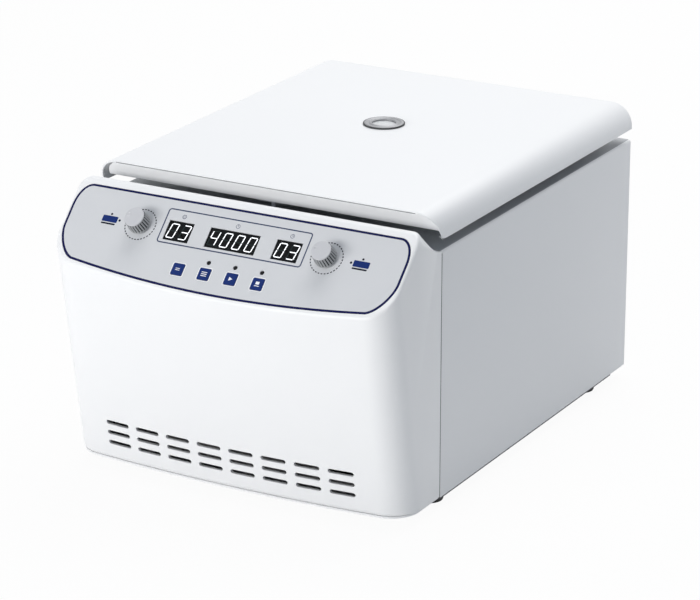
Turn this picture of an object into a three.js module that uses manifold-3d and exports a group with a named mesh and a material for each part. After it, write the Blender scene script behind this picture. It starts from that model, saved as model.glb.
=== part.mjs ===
// Benchtop centrifuge: a sheet steel cabinet with a moulded front casing, a hinged lid over a round chamber,
// an angle rotor on a motor shaft, and a control panel at 45 degrees. Millimetres, +Z up, front towards -Y.
// The origin is on the table, under the middle of the whole machine.
import * as THREE from 'three';
import { mergeVertices } from 'three/addons/utils/BufferGeometryUtils.js';
import Module from 'manifold-3d';

const wasm = await Module();
wasm.setup();

// Fits shared by all pieces
const seat_gap = 0.3;
const running_gap = 0.1;
const overrun = 2;

// Chamber: its radius and depth set the size of the whole machine
const bowl_radius = 140;
const bowl_sheet = 1.5;
const bowl_corner = 12;
const bowl_rim = 10;
const bowl_floor_hole = 32;
const chamber_depth = 120;
const guard_clearance = 13;
const guard_radius = bowl_radius + guard_clearance;
const guard_wall = 3;
const guard_head_room = 7.7;

// Cabinet
const side_room = 35;
const front_room = 57;
const rear_room = 21;
const cabinet_height = 232;
const sheet = 2;
const base_side_border = 4;
const base_rear_border = 26;
const cabinet_width = 2 * (bowl_radius + side_room);
const rotor_setback = guard_radius + guard_wall + front_room;
const cabinet_depth = rotor_setback + guard_radius + guard_wall + rear_room;
const base_width = cabinet_width - 2 * base_side_border;
const base_depth = cabinet_depth - base_rear_border;

// Feet
const foot_height = 12;
const foot_radius = 14;
const foot_edge = 1.5;
const foot_side_border = 17;
const foot_front_border = 20;
const foot_rear_border = 29;
const foot_offset = base_width / 2 - foot_side_border;
const foot_front_setback = foot_front_border;
const foot_rear_setback = base_depth - foot_rear_border;

// Front casing
const bezel_wall = 3;
const bezel_foot_reach = 72;
const bezel_lean_share = 0.168;
const bezel_bow = 7.5;
const bezel_corner_radius = 26;
const bezel_shoulder_radius = 25;
const bezel_edge_radius = 6;
const bezel_side_radius = 3;
const bezel_foot_radius = 4;
const crest_reach = 33;
const crest_rise = 25.8;

// Ventilation slots in the front casing
const vent_columns = 8;
const vent_rows = 3;
const vent_side_border = 41.4;
const vent_bridge = 10.4;
const vent_pitch = (cabinet_width - 2 * vent_side_border) / vent_columns;
const vent_row_pitch = 10.4;
const vent_length = vent_pitch - vent_bridge;
const vent_height = 3.8;
const vent_level = 18.4;

// Control panel, measured down the slope from the top of its outline
const panel_angle = Math.PI / 4;
const panel_margin = 4.2;
const overlay_thickness = 0.8;
const overlay_side_margin = 2.5;
const overlay_foot_margin = 4.47;
const overlay_bow = 11;
const overlay_widest = 36;
const overlay_corner_in = 27;
const overlay_shoulder_in = 22.5;
const display_height = 19.2;
const display_pair_width = 25.2;
const display_four_width = 50.4;
const display_offset = 55.5;
const display_recess = 0.3;
const board_depth = 9;
const board_thickness = 1.6;
const board_half_width = 108;
const boss_radius = 3;
const boss_offset = 72;

// Keys and lamps of the panel
const key_count = 4;
const key_pitch = 27.2;
const key_size = 11.4;
const key_rise = 0.6;
const key_travel = 0.4;
const key_flange = 1.1;
const key_flange_thickness = 1.2;
const key_stem = 5;
const tact_size = 6;
const lamp_radius = 1.9;
const lamp_rise = 0.2;

// Rotary knobs with their push encoders
const knob_offset = 95.6;
const knob_base_radius = 10.7;
const knob_top_radius = 9.6;
const knob_height = 12;
const knob_ribs = 24;
const knob_rib_depth = 0.5;
const knob_cap_thickness = 1.2;
const knob_hollow_radius = 6.5;
const knob_hollow_depth = 3.6;
const knob_lift = 0.7;
const encoder_size = 13;
const encoder_bush_radius = 4.2;
const encoder_bush_rise = 2.4;
const encoder_shaft_radius = 3;
const plunger_length = 1.6;
const knob_travel = 0.5;

// Lid
const lid_overhang = 1.5;
const lid_width = cabinet_width + 2 * lid_overhang;
const lid_rise = 35.7;
const lid_gap = 11.4;
const lid_sheet = 2;
const lid_roll_radius = 22;
const lid_front_overhang = 11.1;
const lid_slant_share = 0.45;
const lid_back_inset = 0.7;
const liner_depth = 16.6;
const liner_wall = 3;
const liner_front_border = 14;
const liner_rear_border = 40;
const liner_side_border = 30;
const sight_radius = 19.8;
const sight_flange = 1.8;
const sight_neck_radius = 14.6;
const sight_neck_wall = 2;
const sight_lip = 1.6;
const sight_lens_thickness = 4;
const sight_boss_wall = 8;

// Hinges of the lid
const hinge_side_border = 65;
const hinge_offset = cabinet_width / 2 - hinge_side_border;
const hinge_width = 50;
const hinge_middle = 20;
const hinge_play = 0.5;
const hinge_leaf = 2;
const hinge_leaf_depth = 30;
const hinge_knuckle_radius = 4.5;
const hinge_pin_radius = 2;
const hinge_inset = 11.4;
const hinge_rise = 12.1;

// Lid lock
const striker_setback = 10;
const striker_thickness = 2.5;
const striker_width = 16;
const striker_length = 38;
const striker_foot_width = 30;
const striker_foot_depth = 14;
const striker_foot_thickness = 2;
const striker_window = 9;
const lock_width = 44;
const lock_front_setback = 1.5;
const lock_depth = 32;
const lock_height = 28;
const lock_play = 1.7;
const bolt_width = 7;
const bolt_height = 6;
const bolt_drop = 12;
const bolt_throw = 8;
const bolt_tail = 2;

// Gasket round the deck opening, and the plate under the chamber
const round_sides = 48;
const gasket_clearance = 1.2;
const gasket_lip = 2.4;
const gasket_flange = 5.4;
const gasket_inner_radius = bowl_radius + gasket_clearance;
const gasket_neck_radius = gasket_inner_radius + gasket_lip;
const gasket_outer_radius = gasket_neck_radius + gasket_flange;
const gasket_top_width = 3;
const gasket_bead = 4;
const chassis_level = cabinet_height - chamber_depth;
const chassis_thickness = 3;
const chassis_setback = 40;
const chassis_hole_radius = 36;

// Motor and shaft
const motor_radius = 48;
const motor_floor_room = 19.9;
const motor_flange_radius = 60;
const motor_flange = 4;
const motor_sides = 32;
const damper_count = 3;
const damper_radius = 7;
const damper_circle = 51;
const damper_height = 10.4;
const damper_sides = 16;
const shaft_radius = 8;
const shaft_spigot_radius = 6;
const shaft_sides = 16;
const boot_bore = 12;
const boot_rib_radius = 30;
const boot_waist_radius = 25;
const boot_neck_radius = 31.5;
const boot_lip_radius = 38;
const boot_lip = 2.4;

// Rotor
const rotor_clearance = 8;
const rotor_swing_gap = 27;
const rotor_foot_radius = bowl_radius - rotor_swing_gap;
const rotor_foot_edge = 5;
const rotor_height = 62;
const rotor_recess_radius = 30;
const rotor_recess_rim = 36;
const rotor_recess_depth = 14;
const pocket_count = 6;
const pocket_radius = 15.2;
const pocket_tilt = Math.PI * 25 / 180;
const pocket_depth = 46;
const pocket_border = 50;
const pocket_mouth_circle = rotor_foot_radius - pocket_border;
const pocket_sides = 20;
const rotor_nut_radius = 16;
const rotor_nut_height = 20;
const rotor_nut_roof = 7;
const rotor_nut_sides = 12;

// Drive electronics on the base
const driver_width = 90;
const driver_length = 120;
const driver_side_border = 60;
const driver_offset = cabinet_width / 2 - driver_side_border;
const driver_setback = 90;
const driver_rise = 6;
const driver_post = 8;
const heat_sink_width = 70;
const heat_sink_length = 80;
const heat_sink_height = 40;
const heat_sink_base = 6;
const heat_sink_fin = 2.4;
const heat_sink_fins = 8;

// Rear panel and its fittings, levels measured from the bottom of the cabinet
const fitting_side_border = 70;
const fitting_offset = cabinet_width / 2 - fitting_side_border;
const inlet_width = 27;
const inlet_height = 19.8;
const inlet_depth = 22;
const inlet_flange = 2;
const inlet_flange_thickness = 2.5;
const inlet_mouth_width = 24;
const inlet_mouth_height = 16.4;
const inlet_mouth_depth = 16;
const inlet_pin_width = 2;
const inlet_pin_height = 4;
const inlet_pin_length = 13;
const inlet_pin_spacing = 7;
const inlet_earth_rise = 3.6;
const switch_width = 13;
const switch_height = 21;
const switch_depth = 16;
const switch_flange = 1.5;
const switch_wall = 1.5;
const rocker_throw = Math.PI * 20 / 180;
const rocker_face_angle = Math.PI * 10 / 180;
const rocker_thickness = 4;
const rocker_pivot_depth = 1;
const switch_spacing = 33;
const fuse_spacing = 22;
const switch_offset = fitting_offset - switch_spacing;
const fuse_offset = switch_offset - fuse_spacing;
const fuse_radius = 6.2;
const fuse_length = 30;
const fuse_cap_radius = 7.5;
const fuse_cap_length = 5;
const fan_side_border = 85;
const fan_offset = cabinet_width / 2 - fan_side_border;
const fan_room = 16;
const fan_size = chassis_level - 2 * fan_room;
const fan_depth = 25;
const fan_wall = 2.5;
const fan_duct_radius = fan_size / 2 - fan_wall;
const fan_hub_share = 0.43;
const fan_tip_gap = 1.5;
const fan_hub_radius = fan_duct_radius * fan_hub_share;
const fan_hub_length = 16;
const fan_strut = 4;
const fan_strut_depth = 3;
const fan_blades = 7;
const fan_blade_thickness = 1.6;
const fan_blade_chord = 14;
const fan_blade_pitch = Math.PI * 35 / 180;
const fan_axle_radius = 3;
const exhaust_slots = 8;
const exhaust_border = 6;
const exhaust_share = 0.52;
const exhaust_slot_width = fan_size - 2 * exhaust_border;
const exhaust_slot_pitch = exhaust_slot_width / (exhaust_slots - 1 / 2);
const exhaust_slot_height = exhaust_slot_pitch * exhaust_share;

// Levels and planes worked out from the sizes
const base_level = foot_height;
const deck_level = base_level + cabinet_height;
const crest_level = deck_level + crest_rise;
const lid_level = deck_level + lid_rise;
const liner_level = lid_level - liner_depth;
const base_top = base_level - seat_gap;
const chassis_top = base_level + chassis_level + chassis_thickness;
const bezel_bow_half = cabinet_width / 2 - bezel_corner_radius;
const slope_sum = crest_reach + crest_level - bezel_edge_radius + bezel_edge_radius * Math.SQRT2;
const half_round = 1 / 2;

// Solids: a geometry becomes a closed solid with shared corners, and comes back as a geometry
function to_solid(geometry) {
  const bare = geometry.clone();
  bare.deleteAttribute('normal');
  bare.deleteAttribute('uv');
  const merged = mergeVertices(bare);
  const corners = merged.index.array;
  const kept = [];
  for (let i = 0; i < corners.length; i += 3) {
    const [a, b, c] = [corners[i], corners[i + 1], corners[i + 2]];
    if (a !== b && b !== c && c !== a) kept.push(a, b, c);
  }
  return new wasm.Manifold(new wasm.Mesh({
    numProp: 3,
    vertProperties: merged.attributes.position.array,
    triVerts: new Uint32Array(kept),
  }));
}

function to_geometry(solid) {
  const mesh = solid.getMesh();
  const geometry = new THREE.BufferGeometry();
  geometry.setAttribute('position', new THREE.BufferAttribute(mesh.vertProperties, 3));
  geometry.setIndex(new THREE.BufferAttribute(mesh.triVerts, 1));
  return geometry;
}

function cut(piece, tools) {
  let solid = to_solid(piece);
  for (const tool of tools) solid = solid.subtract(to_solid(tool));
  return to_geometry(solid);
}

function join(pieces) {
  let solid = to_solid(pieces[0]);
  for (const piece of pieces.slice(1)) solid = solid.add(to_solid(piece));
  return to_geometry(solid);
}

// Basic forms
function block(x, y, z) {
  const form = new THREE.BoxGeometry(x[1] - x[0], y[1] - y[0], z[1] - z[0]);
  return form.translate((x[0] + x[1]) / 2, (y[0] + y[1]) / 2, (z[0] + z[1]) / 2);
}

function block_at(centre, size) {
  return new THREE.BoxGeometry(size[0], size[1], size[2]).translate(centre[0], centre[1], centre[2]);
}

function upright_rod(radius, low, high, sides) {
  const form = new THREE.CylinderGeometry(radius, radius, high - low, sides);
  return form.rotateX(Math.PI / 2).translate(0, 0, (low + high) / 2);
}

function turned(profile, sides) {
  const points = profile.map(([radius, level]) => new THREE.Vector2(radius, level));
  return new THREE.LatheGeometry(points, sides).rotateX(Math.PI / 2);
}

function turned_ring(profile, sides) {
  return turned([...profile, profile[0]], sides);
}

function polygon_prism(points, depth) {
  const shape = new THREE.Shape(points.map(([x, y]) => new THREE.Vector2(x, y)));
  return new THREE.ExtrudeGeometry(shape, { depth, bevelEnabled: false, curveSegments: 6 });
}

// A skin over rings of points, closed by a flat cap at each end
function skin(rings, flatten) {
  const count = rings[0].length;
  const positions = rings.flat(2);
  const faces = [];
  for (let ring = 0; ring + 1 < rings.length; ring += 1) {
    for (let i = 0; i < count; i += 1) {
      const a = ring * count + i;
      const b = ring * count + (i + 1) % count;
      faces.push([a, b, b + count], [a, b + count, a + count]);
    }
  }
  const last = (rings.length - 1) * count;
  for (const [a, b, c] of cap_faces(rings[0].map(flatten))) faces.push([a, c, b]);
  for (const face of cap_faces(rings[rings.length - 1].map(flatten))) faces.push(face.map((i) => last + i));
  const form = new THREE.BufferGeometry();
  form.setAttribute('position', new THREE.BufferAttribute(new Float32Array(positions), 3));
  form.setIndex(faces.flat());
  return volume_of(form) < 0 ? turned_out(form) : form;
}

// Triangles of a flat outline, wound the same way round as the outline itself
function cap_faces(outline) {
  const points = outline.map(([x, y]) => new THREE.Vector2(x, y));
  const wanted = THREE.ShapeUtils.isClockWise(points);
  return THREE.ShapeUtils.triangulateShape(points, []).map(([a, b, c]) => {
    const clockwise = THREE.ShapeUtils.isClockWise([points[a], points[b], points[c]]);
    return clockwise === wanted ? [a, b, c] : [a, c, b];
  });
}

function volume_of(form) {
  const [a, b, c] = [new THREE.Vector3(), new THREE.Vector3(), new THREE.Vector3()];
  const { position } = form.attributes;
  const corners = form.index.array;
  let volume = 0;
  for (let i = 0; i < corners.length; i += 3) {
    a.fromBufferAttribute(position, corners[i]);
    b.fromBufferAttribute(position, corners[i + 1]);
    c.fromBufferAttribute(position, corners[i + 2]);
    volume += a.dot(b.cross(c)) / 6;
  }
  return volume;
}

function turned_out(form) {
  const corners = form.index.array;
  for (let i = 0; i < corners.length; i += 3) {
    [corners[i + 1], corners[i + 2]] = [corners[i + 2], corners[i + 1]];
  }
  return form;
}

// Rows of the panel, each a share of the length of its slope
const slope_foot_level = (slope_sum - bezel_foot_reach + bezel_lean_share * base_level) / (1 + bezel_lean_share);
const panel_origin_reach = crest_reach + (bezel_edge_radius + panel_margin) * Math.SQRT1_2;
const panel_origin_level = crest_level - bezel_edge_radius
  + (bezel_edge_radius - panel_margin) * Math.SQRT1_2;
const panel_length = (panel_origin_level - slope_foot_level) * Math.SQRT2;
const row_shares = { display: 0.35, knob: 0.348, lamp: 0.62, key: 0.748, board: [0.133, 0.845], boss: [0.178, 0.79] };
const display_row = panel_length * row_shares.display;
const knob_row = panel_length * row_shares.knob;
const lamp_row = panel_length * row_shares.lamp;
const key_row = panel_length * row_shares.key;
const [board_top, board_foot] = row_shares.board.map((share) => panel_length * share);
const boss_rows = row_shares.boss.map((share) => panel_length * share);
const overlay_height = panel_length - overlay_foot_margin;
const overlay_corner_drop = overlay_height - overlay_bow;

// Front casing outline at one station across the width, as reach ahead of the seam and level
function edge_drop(across, half, radius) {
  const past = across - (half - radius);
  if (past <= 0) return 0;
  return radius - Math.sqrt(Math.max(0, radius * radius - past * past));
}

function arc_points(centre, radius, from, to, steps) {
  const points = [];
  for (let i = 0; i <= steps; i += 1) {
    const angle = from + (to - from) * i / steps;
    points.push([centre[0] + radius * Math.cos(angle), centre[1] + radius * Math.sin(angle)]);
  }
  return points;
}

function bezel_profile(x, inset, back) {
  const across = Math.abs(x);
  const half = cabinet_width / 2 - inset;
  const edge = bezel_edge_radius - inset;
  const lean_length = Math.hypot(1, bezel_lean_share);
  const bow = bezel_bow * (across / bezel_bow_half) ** 2;
  const front_drop = edge_drop(across, half, bezel_corner_radius - inset) + inset * lean_length;
  const front_foot = bezel_foot_reach - bow - front_drop;
  const slope = slope_sum
    - (inset + edge_drop(across, half, Math.max(0, bezel_side_radius - inset))) * Math.SQRT2;
  const top = crest_level - inset - edge_drop(across, half, bezel_shoulder_radius - inset);
  const foot = base_level + inset;
  const front_at = (level) => front_foot + bezel_lean_share * (level - base_level);

  // Bottom edge, rounded where it meets the leaning front
  const foot_edge_radius = bezel_foot_radius - inset;
  const points = [[back, foot]];
  const foot_centre = [front_at(foot + foot_edge_radius) - foot_edge_radius, foot + foot_edge_radius];
  points.push(...arc_points(foot_centre, foot_edge_radius, -Math.PI / 2, 0, 2));

  // Edge between the leaning front and the panel slope
  const meet_level = (slope - front_foot + bezel_lean_share * base_level) / (1 + bezel_lean_share);
  const lean_angle = Math.atan(bezel_lean_share);
  const tangent = edge * Math.tan((panel_angle + lean_angle) / 2);
  const low_centre = [
    front_at(meet_level) - tangent * bezel_lean_share / lean_length - edge / lean_length,
    meet_level - tangent / lean_length + edge * bezel_lean_share / lean_length,
  ];
  points.push(...arc_points(low_centre, edge, -lean_angle, panel_angle, 3));

  // Crest, and the hollow slope behind it down to the deck, lower towards the shoulders
  const crest_centre = [slope - edge * Math.SQRT2 - top + edge, top - edge];
  points.push(...arc_points(crest_centre, edge, panel_angle, Math.PI / 2, 2));
  const rear_centre = [crest_reach, crest_level - bezel_edge_radius];
  const rear = arc_points(rear_centre, edge, Math.PI / 2, Math.PI, 3).slice(1);
  const start = new THREE.Vector2(crest_reach - edge, rear_centre[1]);
  const end = new THREE.Vector2(back, deck_level - inset);
  const hollow = new THREE.QuadraticBezierCurve(start, new THREE.Vector2(start.x, end.y), end);
  for (const point of hollow.getPoints(4).slice(1)) rear.push([point.x, point.y]);
  const drop_share = (top - end.y) / (crest_level - inset - end.y);
  for (const [reach, level] of rear) points.push([reach, end.y + (level - end.y) * drop_share]);
  return points;
}

function bezel_stations(inset) {
  const half = cabinet_width / 2 - inset;
  const radius = bezel_corner_radius - inset;
  const flat = half - radius;
  const stations = [0, flat / 3, flat * 2 / 3, flat];
  for (const turn of corner_turns) stations.push(flat + radius * Math.sin(turn));
  const mirrored = stations.slice(1).map((x) => -x).reverse();
  return [...mirrored, ...stations];
}

const corner_turns = [0.26, 0.52, 0.79, 1.05, 1.26, 1.43, Math.PI / 2];
const front_reach = Math.max(...bezel_profile(0, 0, 0).map(([reach]) => reach));
const rear_reach = seat_gap + fuse_cap_length;
const overall_depth = cabinet_depth + front_reach + rear_reach;
const seam_y = front_reach - overall_depth / 2;
const rotor_y = seam_y + rotor_setback;
const back_y = seam_y + cabinet_depth;

function bezel_body(inset, back) {
  const rings = bezel_stations(inset).map((x) => (
    bezel_profile(x, inset, back).map(([reach, level]) => [x, seam_y - reach, level])
  ));
  return skin(rings, (point) => [point[1], point[2]]);
}

// Panel frame: X to the right, Y up the slope, Z out of the panel
const panel = new THREE.Group();
panel.position.set(0, seam_y - panel_origin_reach, panel_origin_level);
panel.rotation.x = panel_angle;
panel.updateMatrix();

function on_panel(form) {
  return form.applyMatrix4(panel.matrix);
}

const key_places = [];
for (let i = 0; i < key_count; i += 1) key_places.push((i - (key_count - 1) / 2) * key_pitch);
const lamp_places = key_places.slice(1);
const display_places = [
  { name: 'display_left', x: -display_offset, width: display_pair_width },
  { name: 'display_middle', x: 0, width: display_four_width },
  { name: 'display_right', x: display_offset, width: display_pair_width },
];

function panel_rod(x, row, radius, low, high, sides) {
  return upright_rod(radius, low, high, sides).translate(x, -row, 0);
}

function panel_block(x, row, width, height, low, high) {
  return block_at([x, -row, (low + high) / 2], [width, height, high - low]);
}

// Openings that pass through the panel sheet or the wall behind it
function panel_openings(low, high) {
  const tools = [];
  for (const { x, width } of display_places) {
    const clear_width = width + 2 * seat_gap;
    const clear_height = display_height + 2 * seat_gap;
    tools.push(panel_block(x, display_row, clear_width, clear_height, low, high));
  }
  for (const x of key_places) {
    const clear = key_size + 2 * seat_gap;
    tools.push(panel_block(x, key_row, clear, clear, low, high));
  }
  for (const x of lamp_places) {
    tools.push(panel_rod(x, lamp_row, lamp_radius + seat_gap, low, high, 12));
  }
  for (const x of [-knob_offset, knob_offset]) {
    tools.push(panel_rod(x, knob_row, encoder_bush_radius + seat_gap, low, high, 16));
  }
  return tools;
}

// Outline of the panel sheet: straight top, rounded shoulders, bowed bottom
function overlay_outline(grow) {
  const wide = cabinet_width / 2 - overlay_side_margin + grow;
  const top = grow;
  const widest = -overlay_widest;
  const corner_x = wide - overlay_corner_in;
  const corner_y = -overlay_corner_drop - grow;
  const top_x = wide - overlay_shoulder_in;
  const bottom_y = -2 * overlay_height + overlay_corner_drop - grow;
  const shape = new THREE.Shape();
  const shoulder_pull = overlay_shoulder_in * outline_shares.shoulder;
  const side_pull = overlay_widest * outline_shares.side;
  const low_side = (overlay_corner_drop - overlay_widest) * outline_shares.low_side;
  const low_pull = overlay_corner_in * outline_shares.low_corner;
  const low_rise = (overlay_height - overlay_corner_drop) * outline_shares.low_rise;
  shape.moveTo(-top_x, top);
  shape.lineTo(top_x, top);
  shape.bezierCurveTo(wide - shoulder_pull, top, wide, -side_pull, wide, widest);
  shape.bezierCurveTo(wide, widest - low_side, wide - low_pull, corner_y + low_rise, corner_x, corner_y);
  shape.quadraticCurveTo(0, bottom_y, -corner_x, corner_y);
  shape.bezierCurveTo(low_pull - wide, corner_y + low_rise, -wide, widest - low_side, -wide, widest);
  shape.bezierCurveTo(-wide, -side_pull, shoulder_pull - wide, top, -top_x, top);
  return shape;
}

const outline_shares = { shoulder: 0.29, side: 0.33, low_side: 0.42, low_corner: 0.38, low_rise: 0.27 };

function overlay_plate(grow, low, high) {
  const options = { depth: high - low, bevelEnabled: false, curveSegments: 8 };
  return new THREE.ExtrudeGeometry(overlay_outline(grow), options).translate(0, 0, low);
}

// Slot cutters for the vents: flat bars with round ends, lying across the width
function slot_cutter(width, height, depth) {
  const straight = (width - height) / 2;
  const radius = height / 2;
  const right = arc_points([straight, 0], radius, -Math.PI / 2, Math.PI / 2, 4);
  const left = arc_points([-straight, 0], radius, Math.PI / 2, Math.PI * 3 / 2, 4);
  return polygon_prism([...right, ...left], depth).rotateX(Math.PI / 2);
}

function front_vents() {
  const tools = [];
  for (let column = 0; column < vent_columns; column += 1) {
    for (let row = 0; row < vent_rows; row += 1) {
      const x = (column - (vent_columns - 1) / 2) * vent_pitch;
      const level = base_level + vent_level + row * vent_row_pitch;
      const cutter = slot_cutter(vent_length, vent_height, front_reach - bezel_foot_reach / 2);
      tools.push(cutter.translate(x, seam_y - bezel_foot_reach / 2, level));
    }
  }
  return tools;
}

const wall_inside = -bezel_wall;
const board_face = -board_depth;

function board_bosses() {
  const bosses = [];
  for (const x of [-boss_offset, boss_offset]) {
    for (const row of boss_rows) {
      const root = wall_inside + bezel_wall / 4;
      bosses.push(on_panel(panel_rod(x, row, boss_radius, board_face + seat_gap, root, 12)));
    }
  }
  return bosses;
}

function front_bezel() {
  const recess = on_panel(overlay_plate(seat_gap, -overlay_thickness - seat_gap, overrun));
  const openings = panel_openings(wall_inside - overrun, overrun).map(on_panel);
  const shell = cut(bezel_body(0, 0), [bezel_body(bezel_wall, -overrun), recess, ...openings, ...front_vents()]);
  return join([shell, ...board_bosses()]);
}

function panel_overlay() {
  return cut(overlay_plate(0, -overlay_thickness, 0), panel_openings(-overlay_thickness - overrun, overrun));
}

function display_module(width) {
  return panel_block(0, display_row, width, display_height, board_face + seat_gap, -display_recess);
}

function control_board() {
  const middle = (board_top + board_foot) / 2;
  const board = panel_block(0, middle, 2 * board_half_width, board_foot - board_top,
    board_face - board_thickness, board_face);
  const stem_foot = wall_inside - seat_gap - key_flange_thickness - key_stem_length;
  const tact_top = stem_foot - key_travel - seat_gap;
  const tacts = key_places.map((x) => (
    panel_block(x, key_row, tact_size, tact_size, board_face - board_thickness / 2, tact_top)
  ));
  return join([board, ...tacts]);
}

const key_stem_length = 1.9;

function key_cap() {
  const flange_top = wall_inside - seat_gap;
  const flange_foot = flange_top - key_flange_thickness;
  const flange_size = key_size + 2 * seat_gap + 2 * key_flange;
  return join([
    panel_block(0, key_row, key_size, key_size, flange_top - key_flange_thickness / 2, key_rise),
    panel_block(0, key_row, flange_size, flange_size, flange_foot, flange_top),
    panel_block(0, key_row, key_stem, key_stem, flange_foot - key_stem_length, flange_foot + key_flange_thickness / 2),
  ]);
}

function lamp() {
  return panel_rod(0, lamp_row, lamp_radius, board_face + seat_gap, lamp_rise, 12);
}

// Encoder: a body on the board with a threaded bush, and a push plunger under the shaft of its knob
const encoder_bore = encoder_shaft_radius + running_gap;
const encoder_top = wall_inside - seat_gap;
const plunger_foot = board_face + seat_gap + knob_travel;

function encoder_body() {
  const body = panel_block(0, knob_row, encoder_size, encoder_size, board_face + seat_gap, encoder_top);
  const bush = panel_rod(0, knob_row, encoder_bush_radius, encoder_top - bezel_wall / 4, encoder_bush_rise, 16);
  const bore = panel_rod(0, knob_row, encoder_bore, board_face - overrun, encoder_bush_rise + overrun, 16);
  return cut(join([body, bush]), [bore]);
}

function encoder_plunger() {
  return panel_rod(0, knob_row, encoder_shaft_radius, plunger_foot, plunger_foot + plunger_length, 16);
}

const shaft_foot = plunger_foot + plunger_length + seat_gap;
const knob_foot = knob_lift + knob_travel;
const knob_top = knob_foot + knob_height;

function ribbed_ring(radius, level) {
  const points = [];
  for (let i = 0; i < 2 * knob_ribs; i += 1) {
    const angle = Math.PI * (i + half_round) / knob_ribs;
    const distance = radius - (i % 2) * knob_rib_depth;
    points.push([distance * Math.cos(angle), distance * Math.sin(angle) - knob_row, level]);
  }
  return points;
}

function knob() {
  const rings = [ribbed_ring(knob_base_radius, knob_foot), ribbed_ring(knob_top_radius, knob_top)];
  const body = skin(rings, (point) => [point[0], point[1]]);
  const hollow_top = knob_foot + knob_hollow_depth;
  const hollow = panel_rod(0, knob_row, knob_hollow_radius, knob_foot - overrun, hollow_top, 16);
  const shaft = panel_rod(0, knob_row, encoder_shaft_radius, shaft_foot, hollow_top + overrun, 16);
  return join([cut(body, [hollow]), shaft]);
}

function knob_cap() {
  const low = knob_top + seat_gap;
  return panel_rod(0, knob_row, knob_top_radius - knob_rib_depth / 2, low, low + knob_cap_thickness, 24);
}

// Cabinet: one folded cover for both sides and the deck, with a round opening over the chamber
function around_rotor(form) {
  return form.translate(0, rotor_y, 0);
}

const deck_opening_radius = gasket_neck_radius + 2 * seat_gap;

function cabinet_shell() {
  const half = cabinet_width / 2;
  const front = seam_y + seat_gap;
  const cover = block([-half, half], [front, back_y], [base_level, deck_level]);
  const inside = block([sheet - half, half - sheet], [front - overrun, back_y + overrun],
    [base_level - overrun, deck_level - sheet]);
  const opening = upright_rod(deck_opening_radius, deck_level - 2 * sheet, deck_level + overrun, round_sides);
  const slot_half = striker_width / 2 + lock_play;
  const slot_depth = striker_thickness / 2 + 2 * lock_play;
  const striker_y = seam_y + striker_setback;
  const slot = block([-slot_half, slot_half], [striker_y - slot_depth, striker_y + slot_depth],
    [deck_level - 2 * sheet, deck_level + overrun]);
  return cut(cover, [inside, around_rotor(opening), slot]);
}

function base_plate() {
  return block([-base_width / 2, base_width / 2], [seam_y + seat_gap, seam_y + base_depth],
    [base_top - sheet, base_top]);
}

function foot() {
  const top = base_top - sheet - seat_gap;
  const profile = [
    [0, 0],
    [foot_radius - 2 * foot_edge, 0],
    [foot_radius - foot_edge, foot_edge],
    [foot_radius, top - 2 * foot_edge],
    [foot_radius - foot_edge, top],
    [0, top],
  ];
  return turned(profile, 20);
}

// Lid: a sheet with rolled sides and a slanted front end, over a moulded inner liner
const lid_back = cabinet_depth - lid_back_inset;
const lid_foot = deck_level + lid_gap;

function lid_section(inset, start, steps) {
  const centre = [lid_width / 2 - lid_roll_radius, lid_level - lid_roll_radius];
  const right = arc_points(centre, lid_roll_radius - inset, start, Math.PI / 2, steps);
  const left = right.map(([x, level]) => [-x, level]).reverse();
  return [...right, ...left];
}

function slanted_prism(outline) {
  const front = outline.map(([x, level]) => (
    [x, seam_y - lid_front_overhang + lid_slant_share * (lid_level - level), level]
  ));
  const back = outline.map(([x, level]) => [x, seam_y + lid_back, level]);
  return skin([front, back], (point) => [point[0], point[2]]);
}

function lid_shell() {
  const outer = lid_section(0, 0, 6);
  const inner = lid_section(lid_sheet, 0, 6);
  const half = lid_width / 2;
  const outline = [
    [half, lid_foot], ...outer, [-half, lid_foot],
    [lid_sheet - half, lid_foot], ...inner.reverse(), [half - lid_sheet, lid_foot],
  ];
  const hole_radius = sight_neck_radius + seat_gap;
  const hole = upright_rod(hole_radius, lid_level - 2 * lid_sheet, lid_level + overrun, 24);
  return cut(slanted_prism(outline), [around_rotor(hole)]);
}

const liner_top = lid_level - lid_sheet - seat_gap;

function lid_liner() {
  const inset = lid_sheet + seat_gap;
  const start = Math.asin((liner_level - lid_level + lid_roll_radius) / (lid_roll_radius - inset));
  const body = slanted_prism(lid_section(inset, start, 5));
  const half = lid_width / 2 - liner_side_border;
  const hollow = block([-half, half],
    [seam_y + liner_front_border, seam_y + lid_back - liner_rear_border],
    [liner_level + liner_wall, lid_level]);
  const boss = around_rotor(upright_rod(sight_neck_radius + sight_boss_wall, liner_level, lid_level, 24));
  const bore = upright_rod(sight_neck_radius + seat_gap, liner_level - overrun, lid_level, 24);
  return cut(body, [cut(hollow, [boss]), around_rotor(bore)]);
}

const sight_low = lid_level + seat_gap;

function sight_ring() {
  const foot = liner_level;
  const bore = sight_neck_radius - sight_neck_wall;
  const profile = [
    [sight_neck_radius, foot],
    [sight_neck_radius, sight_low],
    [sight_radius, sight_low],
    [sight_radius, sight_low + sight_flange / 2],
    [sight_radius - sight_flange, sight_low + sight_flange],
    [bore - sight_lip, sight_low + sight_flange],
    [bore - sight_lip, sight_low],
    [bore, sight_low],
    [bore, foot],
  ];
  return around_rotor(turned_ring(profile, 24));
}

function sight_lens() {
  const radius = sight_neck_radius - sight_neck_wall - seat_gap;
  const top = sight_low - seat_gap;
  return around_rotor(upright_rod(radius, top - sight_lens_thickness, top, 24));
}

// Hinge: the deck leaf holds the outer knuckles and the pin, the lid leaf the middle knuckle
const hinge_y = back_y - hinge_inset;
const hinge_z = deck_level + hinge_rise;
const hinge_bore = hinge_pin_radius + running_gap;

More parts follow.
